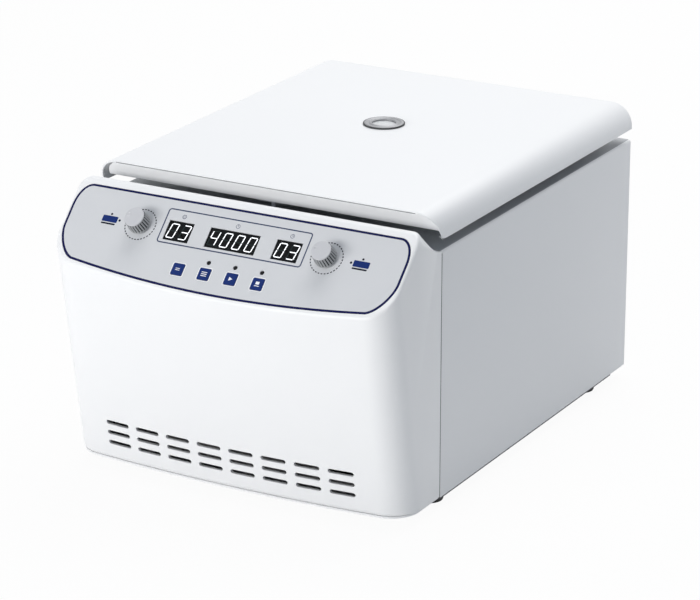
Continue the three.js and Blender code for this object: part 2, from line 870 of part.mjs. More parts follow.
function cross_rod(radius, from, to, sides) {
  const form = new THREE.CylinderGeometry(radius, radius, to - from, sides);
  return form.rotateZ(Math.PI / 2).translate((from + to) / 2, hinge_y, hinge_z);
}

function hinge_deck_leaf() {
  const half = hinge_width / 2;
  const inner = hinge_middle / 2 + hinge_play;
  const plate_low = deck_level + seat_gap;
  const plate_high = plate_low + hinge_leaf;
  const pieces = [block([-half, half], [hinge_y - hinge_leaf_depth, hinge_y + hinge_leaf / 2],
    [plate_low, plate_high])];
  for (const [from, to] of [[-half, -inner], [inner, half]]) {
    pieces.push(cross_rod(hinge_knuckle_radius, from, to, 16));
    pieces.push(block([from, to], [hinge_y - hinge_leaf / 2, hinge_y + hinge_leaf / 2],
      [plate_low, hinge_z - hinge_knuckle_radius / 2]));
  }
  return cut(join(pieces), [cross_rod(hinge_bore, -half - overrun, half + overrun, 16)]);
}

function hinge_lid_leaf() {
  const half = hinge_width / 2;
  const middle = hinge_middle / 2;
  const plate_high = liner_level - seat_gap;
  const plate_low = plate_high - hinge_leaf;
  const plate = block([-half, half], [hinge_y - hinge_leaf_depth, hinge_y - hinge_knuckle_radius],
    [plate_low, plate_high]);
  const tongue = block([-middle, middle], [hinge_y - hinge_knuckle_radius - hinge_leaf, hinge_y],
    [hinge_z + hinge_knuckle_radius / 2, plate_high]);
  const knuckle = cross_rod(hinge_knuckle_radius, -middle, middle, 16);
  return cut(join([plate, tongue, knuckle]), [cross_rod(hinge_bore, -half, half, 16)]);
}

function hinge_pin() {
  return cross_rod(hinge_pin_radius, -hinge_width / 2, hinge_width / 2, 16);
}

// Lid lock: the striker under the lid enters a slot in the deck, and a bolt slides through its window
const striker_y = seam_y + striker_setback;
const striker_top = liner_level - seat_gap;
const bolt_z = deck_level - bolt_drop;

function striker() {
  const foot = block_at([0, striker_y, striker_top - striker_foot_thickness / 2],
    [striker_foot_width, striker_foot_depth, striker_foot_thickness]);
  const blade_top = striker_top - striker_foot_thickness / 2;
  const blade_foot = striker_top - striker_length;
  const blade = block_at([0, striker_y, (blade_top + blade_foot) / 2],
    [striker_width, striker_thickness, blade_top - blade_foot]);
  const window = block_at([0, striker_y, bolt_z], [striker_window, striker_thickness + overrun, striker_window]);
  return cut(join([foot, blade]), [window]);
}

const lock_top = deck_level - sheet - seat_gap;
const lock_front = seam_y + lock_front_setback;
const lock_back = lock_front + lock_depth;
const bolt_front = striker_y + striker_thickness / 2 + 2 * lock_play;

function lock_body() {
  const body = block([-lock_width / 2, lock_width / 2], [lock_front, lock_back], [lock_top - lock_height, lock_top]);
  const slot_depth = striker_thickness / 2 + 2 * lock_play;
  const slot = block([-striker_width / 2 - lock_play, striker_width / 2 + lock_play],
    [striker_y - slot_depth, striker_y + slot_depth],
    [striker_top - striker_length - lock_play, lock_top + overrun]);
  const channel = block_at([0, (striker_y + lock_back + overrun) / 2, bolt_z],
    [bolt_width + 2 * seat_gap, lock_back + overrun - striker_y, bolt_height + 2 * seat_gap]);
  return cut(body, [slot, channel]);
}

function lock_bolt() {
  return block([-bolt_width / 2, bolt_width / 2], [bolt_front, lock_back + bolt_throw + bolt_tail],
    [bolt_z - bolt_height / 2, bolt_z + bolt_height / 2]);
}

// Chamber: gasket on the edge of the deck opening, bowl hung under the deck, guard ring round the bowl
function chamber_gasket() {
  const low = deck_level - sheet;
  const step = deck_level + seat_gap;
  const top = liner_level - seat_gap;
  const profile = [
    [gasket_inner_radius, low],
    [gasket_neck_radius, low],
    [gasket_neck_radius, step],
    [gasket_outer_radius, step],
    [gasket_outer_radius, step + gasket_bead],
    [gasket_neck_radius + gasket_top_width, top],
    [gasket_neck_radius, top],
    [gasket_inner_radius, step + 2 * gasket_bead],
  ];
  return around_rotor(turned_ring(profile, round_sides));
}

function chamber_bowl() {
  const rim = deck_level - sheet - seat_gap;
  const floor = chassis_top + seat_gap;
  const wall = bowl_radius + bowl_sheet;
  const profile = [
    [bowl_floor_hole, floor],
    [bowl_radius - bowl_corner, floor],
    [wall, floor + bowl_corner + bowl_sheet],
    [wall, rim - bowl_sheet],
    [bowl_radius + bowl_rim, rim - bowl_sheet],
    [bowl_radius + bowl_rim, rim],
    [bowl_radius, rim],
    [bowl_radius, floor + bowl_corner + 2 * bowl_sheet],
    [bowl_radius - bowl_corner, floor + bowl_sheet],
    [bowl_floor_hole, floor + bowl_sheet],
  ];
  return around_rotor(turned_ring(profile, round_sides));
}

function guard_ring() {
  const low = chassis_top + seat_gap;
  const high = deck_level - sheet - guard_head_room;
  const profile = [
    [guard_radius, low],
    [guard_radius + guard_wall, low],
    [guard_radius + guard_wall, high],
    [guard_radius, high],
  ];
  return around_rotor(turned_ring(profile, round_sides));
}

function chassis_plate() {
  const half = cabinet_width / 2 - sheet - seat_gap;
  const plate = block([-half, half], [seam_y + chassis_setback, back_y - sheet - 2 * seat_gap],
    [chassis_top - chassis_thickness, chassis_top]);
  const hole = upright_rod(chassis_hole_radius, chassis_top - 2 * chassis_thickness, chassis_top + overrun, 32);
  return cut(plate, [around_rotor(hole)]);
}

// Motor: flange hung on rubber dampers under the chassis plate, shaft up through the boot into the rotor
const damper_top = chassis_top - chassis_thickness - seat_gap;
const flange_top = damper_top - damper_height - seat_gap;
const shaft_shoulder = chassis_top + seat_gap + bowl_sheet + seat_gap + boot_lip + rotor_clearance;
const rotor_foot = shaft_shoulder + seat_gap;
const rotor_top = rotor_foot + rotor_height;
const rotor_seat = rotor_top - rotor_recess_depth;
const nut_foot = rotor_seat + seat_gap;

function motor() {
  const floor = base_level + motor_floor_room;
  const profile = [
    [0, floor],
    [motor_radius, floor],
    [motor_radius, flange_top - motor_flange],
    [motor_flange_radius, flange_top - motor_flange],
    [motor_flange_radius, flange_top],
    [shaft_radius + running_gap * 2, flange_top],
    [shaft_radius + running_gap * 2, flange_top - motor_flange],
    [0, flange_top - motor_flange],
  ];
  return around_rotor(turned(profile, motor_sides));
}

function damper(index) {
  const angle = Math.PI * 2 * (index + 1 / 4) / damper_count;
  const form = upright_rod(damper_radius, flange_top + seat_gap, damper_top, damper_sides);
  return around_rotor(form.translate(damper_circle * Math.cos(angle), damper_circle * Math.sin(angle), 0));
}

function shaft_boot() {
  const low = flange_top + seat_gap;
  const neck = chassis_top + seat_gap;
  const lip_low = chassis_top + 2 * seat_gap + bowl_sheet;
  const fold = (neck - low) / 4;
  const profile = [
    [boot_bore, low],
    [boot_rib_radius, low],
    [boot_waist_radius, low + fold],
    [boot_rib_radius, low + 2 * fold],
    [boot_waist_radius, low + 3 * fold],
    [boot_neck_radius, neck],
    [boot_neck_radius, lip_low],
    [boot_lip_radius, lip_low],
    [boot_lip_radius, lip_low + boot_lip],
    [boot_bore, lip_low + boot_lip],
  ];
  return around_rotor(turned_ring(profile, 24));
}

function drive_shaft() {
  const foot = flange_top - motor_flange + seat_gap;
  const tip = nut_foot + rotor_nut_height - rotor_nut_roof - seat_gap;
  const profile = [
    [0, foot],
    [shaft_radius, foot],
    [shaft_radius, shaft_shoulder],
    [shaft_spigot_radius, shaft_shoulder],
    [shaft_spigot_radius, tip],
    [0, tip],
  ];
  return around_rotor(turned(profile, shaft_sides));
}

// Rotor: a turned aluminium body with slanted tube pockets, held down by a nut
function rotor() {
  const bore = shaft_spigot_radius + seat_gap;
  const cone_foot = rotor_foot + rotor_foot_edge;
  const top_radius = rotor_foot_radius - (rotor_top - cone_foot) * Math.tan(pocket_tilt);
  const profile = [
    [bore, rotor_foot],
    [rotor_foot_radius - rotor_foot_edge, rotor_foot],
    [rotor_foot_radius, cone_foot],
    [top_radius, rotor_top],
    [rotor_recess_rim, rotor_top],
    [rotor_recess_radius, rotor_seat],
    [bore, rotor_seat],
  ];
  const pockets = [];
  for (let i = 0; i < pocket_count; i += 1) {
    const pocket = upright_rod(pocket_radius, -pocket_depth, pocket_radius + overrun, pocket_sides);
    pocket.rotateY(-pocket_tilt).translate(pocket_mouth_circle, 0, rotor_top);
    pockets.push(pocket.rotateZ(Math.PI * 2 * i / pocket_count));
  }
  return around_rotor(cut(turned_ring(profile, 36), pockets));
}

function rotor_nut() {
  const bore = shaft_spigot_radius + seat_gap;
  const roof = nut_foot + rotor_nut_height - rotor_nut_roof;
  const top = nut_foot + rotor_nut_height;
  const profile = [
    [bore, nut_foot],
    [rotor_nut_radius, nut_foot],
    [rotor_nut_radius, top],
    [0, top],
    [0, roof],
    [bore, roof],
    [bore, nut_foot],
  ];
  return around_rotor(turned(profile, rotor_nut_sides));
}

// Electronics that stand on the base plate
function driver_board() {
  const x = -driver_offset;
  const y = seam_y + driver_setback;
  const board_low = base_level + driver_rise;
  const board_middle = board_low + board_thickness / 2;
  const pieces = [block_at([x, y, board_middle], [driver_width, driver_length, board_thickness])];
  for (const side of [-1, 1]) {
    for (const end of [-1, 1]) {
      const post = upright_rod(driver_post / 2, base_level, board_middle, 8);
      const post_x = x + side * (driver_width / 2 - driver_post);
      pieces.push(post.translate(post_x, y + end * (driver_length / 2 - driver_post), 0));
    }
  }
  return join([...pieces, ...heat_sink(x, y, board_middle)]);
}

function heat_sink(x, y, low) {
  const middle = low + heat_sink_height / 2;
  const plate = block_at([x, y, low + heat_sink_base / 2], [heat_sink_width, heat_sink_length, heat_sink_base]);
  const first = x - (heat_sink_width - heat_sink_fin) / 2;
  const pitch = (heat_sink_width - heat_sink_fin) / (heat_sink_fins - 1);
  const fins = [];
  for (let i = 0; i < heat_sink_fins; i += 1) {
    fins.push(block_at([first + i * pitch, y, middle], [heat_sink_fin, heat_sink_length, heat_sink_height]));
  }
  return [plate, ...fins];
}

// Rear panel between the sides of the cover, with cut-outs for its fittings
const fitting_z = base_level + chassis_level / 2;

function through_rod(x, z, radius, from, to, sides) {
  const form = new THREE.CylinderGeometry(radius, radius, to - from, sides);
  return form.translate(x, (from + to) / 2, z);
}

function rear_panel() {
  const half = cabinet_width / 2 - sheet - seat_gap;
  const inner = back_y - sheet;
  const upright = block([-half, half], [inner, back_y], [base_level, deck_level - sheet - seat_gap]);
  const floor_front = seam_y + base_depth + seat_gap;
  const floor_strip = block([-half, half], [floor_front, back_y], [base_level, base_level + sheet]);
  const span = [inner - overrun, back_y + overrun];
  const hole = (x, width, height) => block(
    [x - width / 2 - seat_gap, x + width / 2 + seat_gap], span,
    [fitting_z - height / 2 - seat_gap, fitting_z + height / 2 + seat_gap]);
  const tools = [
    hole(fitting_offset, inlet_width, inlet_height),
    hole(switch_offset, switch_width, switch_height),
    through_rod(fuse_offset, fitting_z, fuse_radius + seat_gap, span[0], span[1], 16),
  ];
  for (let i = 0; i < exhaust_slots; i += 1) {
    const level = fitting_z + (i - (exhaust_slots - 1) / 2) * exhaust_slot_pitch;
    const slot = slot_cutter(exhaust_slot_width, exhaust_slot_height, span[1] - span[0]);
    tools.push(slot.translate(-fan_offset, span[1], level));
  }
  return cut(join([upright, floor_strip]), tools);
}

function power_inlet() {
  const x = fitting_offset;
  const z = fitting_z;
  const face = back_y + seat_gap + inlet_flange_thickness;
  const tail = back_y - sheet - inlet_depth;
  const body = block_at([x, (tail + face) / 2, z], [inlet_width, face - tail, inlet_height]);
  const flange = block_at([x, face - inlet_flange_thickness / 2, z],
    [inlet_width + 2 * inlet_flange, inlet_flange_thickness, inlet_height + 2 * inlet_flange]);
  const mouth_floor = face - inlet_mouth_depth;
  const mouth = block_at([x, (mouth_floor + face + overrun) / 2, z],
    [inlet_mouth_width, face + overrun - mouth_floor, inlet_mouth_height]);
  const pin_from = mouth_floor - overrun;
  const pin = (dx, dz) => block_at([x + dx, (pin_from + mouth_floor + inlet_pin_length) / 2, z + dz],
    [inlet_pin_width, mouth_floor + inlet_pin_length - pin_from, inlet_pin_height]);
  const shell = cut(join([body, flange]), [mouth]);
  return join([shell, pin(-inlet_pin_spacing, 0), pin(inlet_pin_spacing, 0), pin(0, inlet_earth_rise)]);
}

// Rocker switch: the rocker tips about a pivot across its housing
const switch_face = back_y + seat_gap + switch_flange;
const rocker_y = switch_face - rocker_pivot_depth;
const rocker_reach = switch_height / 2 - switch_wall - seat_gap * 2;

function switch_housing() {
  const x = switch_offset;
  const tail = back_y - sheet - switch_depth;
  const body = block_at([x, (tail + switch_face) / 2, fitting_z], [switch_width, switch_face - tail, switch_height]);
  const flange = block_at([x, switch_face - switch_flange / 2, fitting_z],
    [switch_width + 2 * switch_flange, switch_flange, switch_height + 2 * switch_flange]);
  const well_floor = rocker_y - rocker_reach;
  const well = block_at([x, (well_floor + switch_face + overrun) / 2, fitting_z],
    [switch_width - 2 * switch_wall, switch_face + overrun - well_floor, switch_height - 2 * switch_wall]);
  return cut(join([body, flange]), [well]);
}

function switch_rocker() {
  const half_width = switch_width / 2 - switch_wall - seat_gap;
  const rise = rocker_reach * Math.sin(rocker_face_angle);
  const reach = rocker_reach * Math.cos(rocker_face_angle);
  const outline = [
    [reach, rise + rocker_pivot_depth],
    [reach, -rocker_thickness / 2],
    [reach / 2, -rocker_thickness],
    [-reach / 2, -rocker_thickness],
    [-reach, -rocker_thickness / 2],
    [-reach, rise + rocker_pivot_depth],
    [0, rocker_pivot_depth],
  ];
  const tip = -rocker_throw / 2;
  const turned_outline = outline.map(([along, out]) => [
    along * Math.cos(tip) - out * Math.sin(tip),
    along * Math.sin(tip) + out * Math.cos(tip),
  ]);
  const rings = [-half_width, half_width].map((dx) => (
    turned_outline.map(([along, out]) => [switch_offset + dx, rocker_y + out, fitting_z + along])
  ));
  return skin(rings, (point) => [point[1], point[2]]);
}

function fuse_holder() {
  const cap_from = back_y + seat_gap;
  const cap_to = cap_from + fuse_cap_length;
  return join([
    through_rod(fuse_offset, fitting_z, fuse_radius, back_y - fuse_length, cap_from + fuse_cap_length / 2, 16),
    through_rod(fuse_offset, fitting_z, fuse_cap_radius, cap_from, cap_to, 16),
  ]);
}

// Cooling fan behind the exhaust slots: a square frame, its hub carried by struts, and the impeller
const fan_back = back_y - sheet - seat_gap;
const fan_front = fan_back - fan_depth;
const fan_bearing = fan_front + 2 * fan_strut_depth;

function fan_frame() {
  const x = -fan_offset;
  const frame = block_at([x, (fan_front + fan_back) / 2, fitting_z], [fan_size, fan_depth, fan_size]);
  const duct = through_rod(x, fitting_z, fan_duct_radius, fan_front - overrun, fan_back + overrun, 32);
  const strut_y = fan_front + fan_strut_depth / 2;
  const struts = [
    block_at([x, strut_y, fitting_z], [2 * fan_duct_radius + fan_strut, fan_strut_depth, fan_strut]),
    block_at([x, strut_y, fitting_z], [fan_strut, fan_strut_depth, 2 * fan_duct_radius + fan_strut]),
    through_rod(x, fitting_z, fan_hub_radius, fan_front, fan_front + fan_strut_depth, 20),
    through_rod(x, fitting_z, fan_axle_radius * 2, fan_front, fan_bearing, 12),
  ];
  const axle_hole = through_rod(x, fitting_z, fan_axle_radius + running_gap, fan_front - overrun, fan_bearing + overrun, 12);
  return cut(join([cut(frame, [duct]), ...struts]), [axle_hole]);
}

function fan_impeller() {
  const x = -fan_offset;
  const hub_from = fan_bearing + seat_gap;
  const hub_to = hub_from + fan_hub_length;
  const hub_middle = (hub_from + hub_to) / 2;
  const tip = fan_duct_radius - fan_tip_gap;
  const pieces = [
    through_rod(x, fitting_z, fan_hub_radius, hub_from, hub_to, 20),
    through_rod(x, fitting_z, fan_axle_radius, fan_front, hub_middle, 12),
  ];
  for (let i = 0; i < fan_blades; i += 1) {
    const root = fan_hub_radius * 3 / 4;
    const blade = block_at([0, 0, 0], [fan_blade_thickness, fan_blade_chord, tip - root]);
    blade.rotateZ(fan_blade_pitch).translate(0, 0, (tip + root) / 2);
    blade.rotateY(Math.PI * 2 * i / fan_blades).translate(x, hub_middle, fitting_z);
    pieces.push(blade);
  }
  return join(pieces);
}

// Finishes
function finish(color, roughness, metalness) {
  return new THREE.MeshStandardMaterial({ color, roughness, metalness });
}

const finishes = {
  white_paint: () => finish('#f0f1f3', 0.45, 0.1),
  white_plastic: () => finish('#f2f3f5', 0.4, 0),
  panel_grey: () => finish('#cecfd5', 0.5, 0.1),
  display_black: () => finish('#0c0d10', 0.25, 0),
  key_navy: () => finish('#162e6c', 0.4, 0),
  lamp_dark: () => finish('#17181b', 0.3, 0),
  knob_grey: () => finish('#8b8d92', 0.45, 0.2),
  cap_grey: () => finish('#c0c1c5', 0.4, 0.2),
  board_green: () => finish('#1d5a3a', 0.6, 0),
  steel: () => finish('#b5b8bd', 0.35, 0.9),
  dark_steel: () => finish('#3b3d42', 0.5, 0.6),
  chrome: () => finish('#d8dadd', 0.12, 1),
  aluminium: () => finish('#c3c6ca', 0.4, 0.9),
  clear: () => finish('#e6eef0', 0.08, 0),
  rubber: () => finish('#0c0d0e', 0.85, 0),
  grey_rubber: () => finish('#55585c', 0.8, 0),
  black_plastic: () => finish('#141518', 0.5, 0),
};

const centrifuge = new THREE.Group();

function add_piece(parent, name, form, finish_name, x = 0, y = 0) {
  const flat = form.index ? form.toNonIndexed() : form;
  flat.deleteAttribute('uv');
  flat.computeVertexNormals();
  const mesh = new THREE.Mesh(flat, finishes[finish_name]());
  mesh.name = name;
  mesh.position.set(x, y, 0);
  parent.add(mesh);
}

function add_cabinet() {
  add_piece(centrifuge, 'front_bezel', front_bezel(), 'white_plastic');
  add_piece(centrifuge, 'cabinet_shell', cabinet_shell(), 'white_paint');
  add_piece(centrifuge, 'base_plate', base_plate(), 'dark_steel');
  for (const [side, sign] of [['left', -1], ['right', 1]]) {
    const x = sign * foot_offset;
    add_piece(centrifuge, `foot_front_${side}`, foot(), 'rubber', x, seam_y + foot_front_setback);
    add_piece(centrifuge, `foot_rear_${side}`, foot(), 'rubber', x, seam_y + foot_rear_setback);
  }
}

function add_panel() {
  centrifuge.add(panel);
  add_piece(panel, 'panel_overlay', panel_overlay(), 'panel_grey');
  add_piece(panel, 'control_board', control_board(), 'board_green');
  for (const { name, x, width } of display_places) {
    add_piece(panel, name, display_module(width), 'display_black', x);
  }
  key_places.forEach((x, i) => add_piece(panel, `key_${i + 1}`, key_cap(), 'key_navy', x));
  lamp_places.forEach((x, i) => add_piece(panel, `led_${i + 1}`, lamp(), 'lamp_dark', x));
  for (const [side, sign] of [['left', -1], ['right', 1]]) {
    const x = sign * knob_offset;
    add_piece(panel, `encoder_body_${side}`, encoder_body(), 'steel', x);
    add_piece(panel, `encoder_plunger_${side}`, encoder_plunger(), 'black_plastic', x);
    add_piece(panel, `knob_${side}`, knob(), 'knob_grey', x);
    add_piece(panel, `knob_cap_${side}`, knob_cap(), 'cap_grey', x);
  }
}

function add_lid() {
  add_piece(centrifuge, 'lid_shell', lid_shell(), 'white_paint');
  add_piece(centrifuge, 'lid_liner', lid_liner(), 'white_plastic');
  add_piece(centrifuge, 'sight_ring', sight_ring(), 'chrome');
  add_piece(centrifuge, 'sight_lens', sight_lens(), 'clear');
  add_piece(centrifuge, 'striker', striker(), 'steel');
  for (const [side, sign] of [['left', -1], ['right', 1]]) {
    const x = sign * hinge_offset;
    add_piece(centrifuge, `hinge_deck_leaf_${side}`, hinge_deck_leaf(), 'steel', x);
    add_piece(centrifuge, `hinge_lid_leaf_${side}`, hinge_lid_leaf(), 'steel', x);
    add_piece(centrifuge, `hinge_pin_${side}`, hinge_pin(), 'steel', x);
  }
}

function add_chamber() {
  add_piece(centrifuge, 'lock_body', lock_body(), 'black_plastic');
  add_piece(centrifuge, 'lock_bolt', lock_bolt(), 'steel');
  add_piece(centrifuge, 'chamber_gasket', chamber_gasket(), 'grey_rubber');
  add_piece(centrifuge, 'chamber_bowl', chamber_bowl(), 'steel');
  add_piece(centrifuge, 'guard_ring', guard_ring(), 'dark_steel');
  add_piece(centrifuge, 'chassis_plate', chassis_plate(), 'dark_steel');
  add_piece(centrifuge, 'shaft_boot', shaft_boot(), 'rubber');
  add_piece(centrifuge, 'motor', motor(), 'dark_steel');
  for (let i = 0; i < damper_count; i += 1) {
    add_piece(centrifuge, `motor_damper_${i + 1}`, damper(i), 'rubber');
  }
  add_piece(centrifuge, 'drive_shaft', drive_shaft(), 'steel');
  add_piece(centrifuge, 'rotor', rotor(), 'aluminium');
  add_piece(centrifuge, 'rotor_nut', rotor_nut(), 'black_plastic');
}

function add_electrics() {
  add_piece(centrifuge, 'driver_board', driver_board(), 'board_green');
  add_piece(centrifuge, 'rear_panel', rear_panel(), 'white_paint');
  add_piece(centrifuge, 'power_inlet', power_inlet(), 'black_plastic');
  add_piece(centrifuge, 'switch_housing', switch_housing(), 'black_plastic');
  add_piece(centrifuge, 'switch_rocker', switch_rocker(), 'black_plastic');
  add_piece(centrifuge, 'fuse_holder', fuse_holder(), 'black_plastic');
  add_piece(centrifuge, 'fan_frame', fan_frame(), 'black_plastic');
  add_piece(centrifuge, 'fan_impeller', fan_impeller(), 'black_plastic');
}

add_cabinet();
add_panel();
add_lid();
add_chamber();
add_electrics();

export default centrifuge;
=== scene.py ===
from contextlib import contextmanager
from math import asin, atan, atan2, cos, hypot, pi, radians, sin, sqrt, tan, tau

import bmesh
import bpy
from mathutils import Matrix, Vector


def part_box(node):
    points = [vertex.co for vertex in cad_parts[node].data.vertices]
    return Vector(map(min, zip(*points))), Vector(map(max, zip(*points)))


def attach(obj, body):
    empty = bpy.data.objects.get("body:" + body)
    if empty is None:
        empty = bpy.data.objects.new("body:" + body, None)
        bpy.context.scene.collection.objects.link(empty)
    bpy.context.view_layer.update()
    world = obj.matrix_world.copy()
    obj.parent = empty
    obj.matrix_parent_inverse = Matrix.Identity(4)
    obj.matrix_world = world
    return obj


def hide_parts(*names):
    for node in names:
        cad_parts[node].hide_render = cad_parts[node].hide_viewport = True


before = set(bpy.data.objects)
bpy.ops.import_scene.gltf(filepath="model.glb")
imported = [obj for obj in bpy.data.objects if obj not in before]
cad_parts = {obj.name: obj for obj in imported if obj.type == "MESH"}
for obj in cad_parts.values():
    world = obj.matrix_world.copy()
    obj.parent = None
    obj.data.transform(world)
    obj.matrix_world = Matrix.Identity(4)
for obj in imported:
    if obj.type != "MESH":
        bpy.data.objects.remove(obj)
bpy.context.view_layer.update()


# Studio: a pale table in plain white surroundings, one soft lamp before the machine and one over
# it, and light from all round. The camera stands a little to its right and above it.
class Value:
    """One output in a recipe; arithmetic on it adds its Math nodes."""

    def __init__(self, recipe, socket):
        self.recipe = recipe
        self.socket = socket

    def maths(self, operation, *values):
        return self.recipe.node("ShaderNodeMath", {"operation": operation}, dict(enumerate(values)))

    def __add__(self, other):
        return self.maths("ADD", self, other)

    def __mul__(self, other):
        return self.maths("MULTIPLY", self, other)

    def __lt__(self, other):
        return self.maths("LESS_THAN", self, other)

    __radd__ = __add__
    __rmul__ = __mul__


class Recipe:
    """The nodes of a finish or of the surroundings."""

    def __init__(self, tree):
        self.tree = tree

    def node(self, kind, settings, values, output=0):
        node = self.tree.nodes.new(kind)
        for name, setting in settings.items():
            setattr(node, name, setting)
        for name, value in values.items():
            self.feed(node.inputs[name], value)
        return Value(self, node.outputs[output])

    def feed(self, socket, value):
        if isinstance(value, Value):
            self.tree.links.new(value.socket, socket)
        else:
            socket.default_value = value

    def mixed(self, mask, first, second):
        return self.node("ShaderNodeMix", {"data_type": "RGBA"}, {0: mask, 6: (*first, 1), 7: (*second, 1)}, 2)

    def seen_directly(self):
        camera, glossy, through = (
            self.node("ShaderNodeLightPath", {}, {}, f"Is {ray} Ray")
            for ray in ("Camera", "Glossy", "Transmission")
        )
        return camera.maths("MAXIMUM", camera.maths("MAXIMUM", camera, glossy), through)


scene = bpy.context.scene
scene.view_settings.view_transform = "Standard"

camera_data = bpy.data.cameras.new("studio_camera")
camera_data.lens = 165.26
camera_data.sensor_width = 36
camera = bpy.data.objects.new("studio_camera", camera_data)
camera.location = (1.40548, -2.48584, 1.13324)
camera.rotation_euler = (pi / 2 - 0.33969, 0, 0.51428)
scene.collection.objects.link(camera)
scene.camera = camera

scene.world = bpy.data.worlds.new("studio_air")
scene.world.use_nodes = True
air = Recipe(scene.world.node_tree)
air_colour = air.mixed(air.seen_directly(), (0.24, 0.272, 0.315), (1, 1, 1))
air.feed(air.tree.nodes["Background"].inputs["Color"], air_colour)

lamp_distance = 3.2
for lamp_name, power, wide, tall, direction in (
    ("front_soft_lamp", 58, 2.4, 0.8, (-0.28, -0.93, 0.24)),
    ("top_soft_lamp", 79, 2.6, 2.6, (0.02, 0.45, 0.89)),
):
    lamp_data = bpy.data.lights.new(lamp_name, "AREA")
    lamp_data.energy = power
    lamp_data.shape = "RECTANGLE"
    lamp_data.size, lamp_data.size_y = wide, tall
    lamp_data.color = (1.0, 0.985, 0.965)
    lamp = bpy.data.objects.new(lamp_name, lamp_data)
    direction = Vector(direction).normalized()
    lamp.location = lamp_distance * direction
    lamp.rotation_euler = direction.to_track_quat("Z", "Y").to_euler()
    scene.collection.objects.link(lamp)

table_finish = bpy.data.materials.new("pale_table")
table_finish.use_nodes = True
table_recipe = Recipe(table_finish.node_tree)
table_nodes = table_finish.node_tree.nodes
table_recipe.feed(table_nodes["Principled BSDF"].inputs["Base Color"], (0.8, 0.8, 0.8, 1))
table_recipe.feed(table_nodes["Principled BSDF"].inputs["Roughness"], 0.9)
table_mix = table_recipe.node("ShaderNodeMixShader", {}, {
    0: 0.95 * table_recipe.seen_directly(),
    1: Value(table_recipe, table_nodes["Principled BSDF"].outputs[0]),
    2: table_recipe.node("ShaderNodeEmission", {}, {"Color": (1, 1, 1, 1), "Strength": 1}),
})
table_recipe.feed(table_nodes["Material Output"].inputs["Surface"], table_mix)
bpy.ops.object.select_all(action="DESELECT")
bpy.ops.mesh.primitive_plane_add(size=30, location=(0, 0, 0))
table = bpy.context.object
table.name = "pale_table"
table.data.materials.append(table_finish)


# Feet: four turned rubber feet, pressed onto studs under the base plate. Each has a hollow
# sole that grips the table, a soft rim and a fine groove round its waist.
class Finish(Recipe):
    """One material: a Principled shader with fixed values, and detail in soft spots."""

    def __init__(self, name, colour, roughness, grain=None, dents=None, blend=None, pattern=None, **fixed):
        """`grain` is least, spread and spots, `dents` depth and spots, `blend` size and two colours."""
        self.material = bpy.data.materials.new(name)
        self.material.use_nodes = True
        super().__init__(self.material.node_tree)
        self.shader = self.tree.nodes["Principled BSDF"]
        self.place = self.node("ShaderNodeTexCoord", {}, {}, "Object")
        for socket, value in {"Base Color": (*colour, 1), "Roughness": roughness, **fixed}.items():
            self.give(socket.replace("_", " "), value)
        pattern = pattern or Finish.spots
        if grain:
            self.give("Roughness", grain[0] + grain[1] * pattern(self, *grain[2:]))
        if dents:
            bump = {"Height": pattern(self, *dents[1:]), "Distance": dents[0]}
            self.give("Normal", self.node("ShaderNodeBump", {}, bump))
        if blend:
            self.give("Base Color", self.mixed(self.spots(blend[0]), *blend[1:]))

    def give(self, socket, value):
        self.feed(self.shader.inputs[socket], value)

    def spots(self, size, detail=2):
        """Soft spots about `size` metres across."""
        return self.node("ShaderNodeTexNoise", {}, {"Vector": self.place, "Scale": 1 / size, "Detail": detail})


def select_only(piece):
    bpy.ops.object.select_all(action="DESELECT")
    piece.select_set(True)
    bpy.context.view_layer.objects.active = piece


def settled(piece):
    """The piece with its place moved into its mesh."""
    select_only(piece)
    bpy.ops.object.transform_apply(location=True, rotation=True, scale=True)
    return piece


def placed(piece, place, turn=(0, 0, 0)):
    piece.location, piece.rotation_euler = place, turn
    return settled(piece)


def new_piece(name, add, **settings):
    """A primitive added where its piece goes."""
    bpy.ops.object.select_all(action="DESELECT")
    add(**settings)
    piece = bpy.context.object
    piece.name = name
    return settled(piece)


@contextmanager
def shaping(piece):
    """Edit mode on one piece, with nothing selected."""
    select_only(piece)
    bpy.ops.object.mode_set(mode="EDIT")
    bpy.ops.mesh.select_mode(type="VERT")
    bpy.ops.mesh.select_all(action="DESELECT")
    yield
    bpy.ops.object.mode_set(mode="OBJECT")


def take_all():
    bpy.ops.mesh.select_all(action="SELECT")


def outwards():
    take_all()
    bpy.ops.mesh.remove_doubles(threshold=1e-6)
    bpy.ops.mesh.normals_make_consistent(inside=False)


def spun(name, profile, centre, turn=(0, 0, 0), steps=64):
    """A turned piece: a line of (radius, height) points spun about its axis."""
    piece = new_piece(name, bpy.ops.mesh.primitive_plane_add, size=0.001)
    with shaping(piece):
        take_all()
        bpy.ops.mesh.merge(type="CENTER")
        bpy.ops.transform.translate(value=(profile[0][0], 0, profile[0][1]))
        for (radius, height), (next_radius, next_height) in zip(profile, profile[1:]):
            step = (next_radius - radius, 0, next_height - height)
            bpy.ops.mesh.extrude_vertices_move(TRANSFORM_OT_translate={"value": step})
        take_all()
        bpy.ops.mesh.spin(steps=steps, angle=tau, center=(0, 0, 0), axis=(0, 0, 1))
        outwards()
    return placed(piece, centre, turn)


def finished(piece, finish, slot, body, *replaced, smooth=30):
    """Give a piece its finish and fix it to the body that carries it; the slot is not used."""
    select_only(piece)
    bpy.ops.object.shade_smooth_by_angle(angle=radians(smooth))
    if not piece.data.materials:
        for each in finish if isinstance(finish, list) else [finish]:
            piece.data.materials.append(each.material)
    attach(piece, body)
    if replaced:
        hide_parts(*replaced)
    return piece


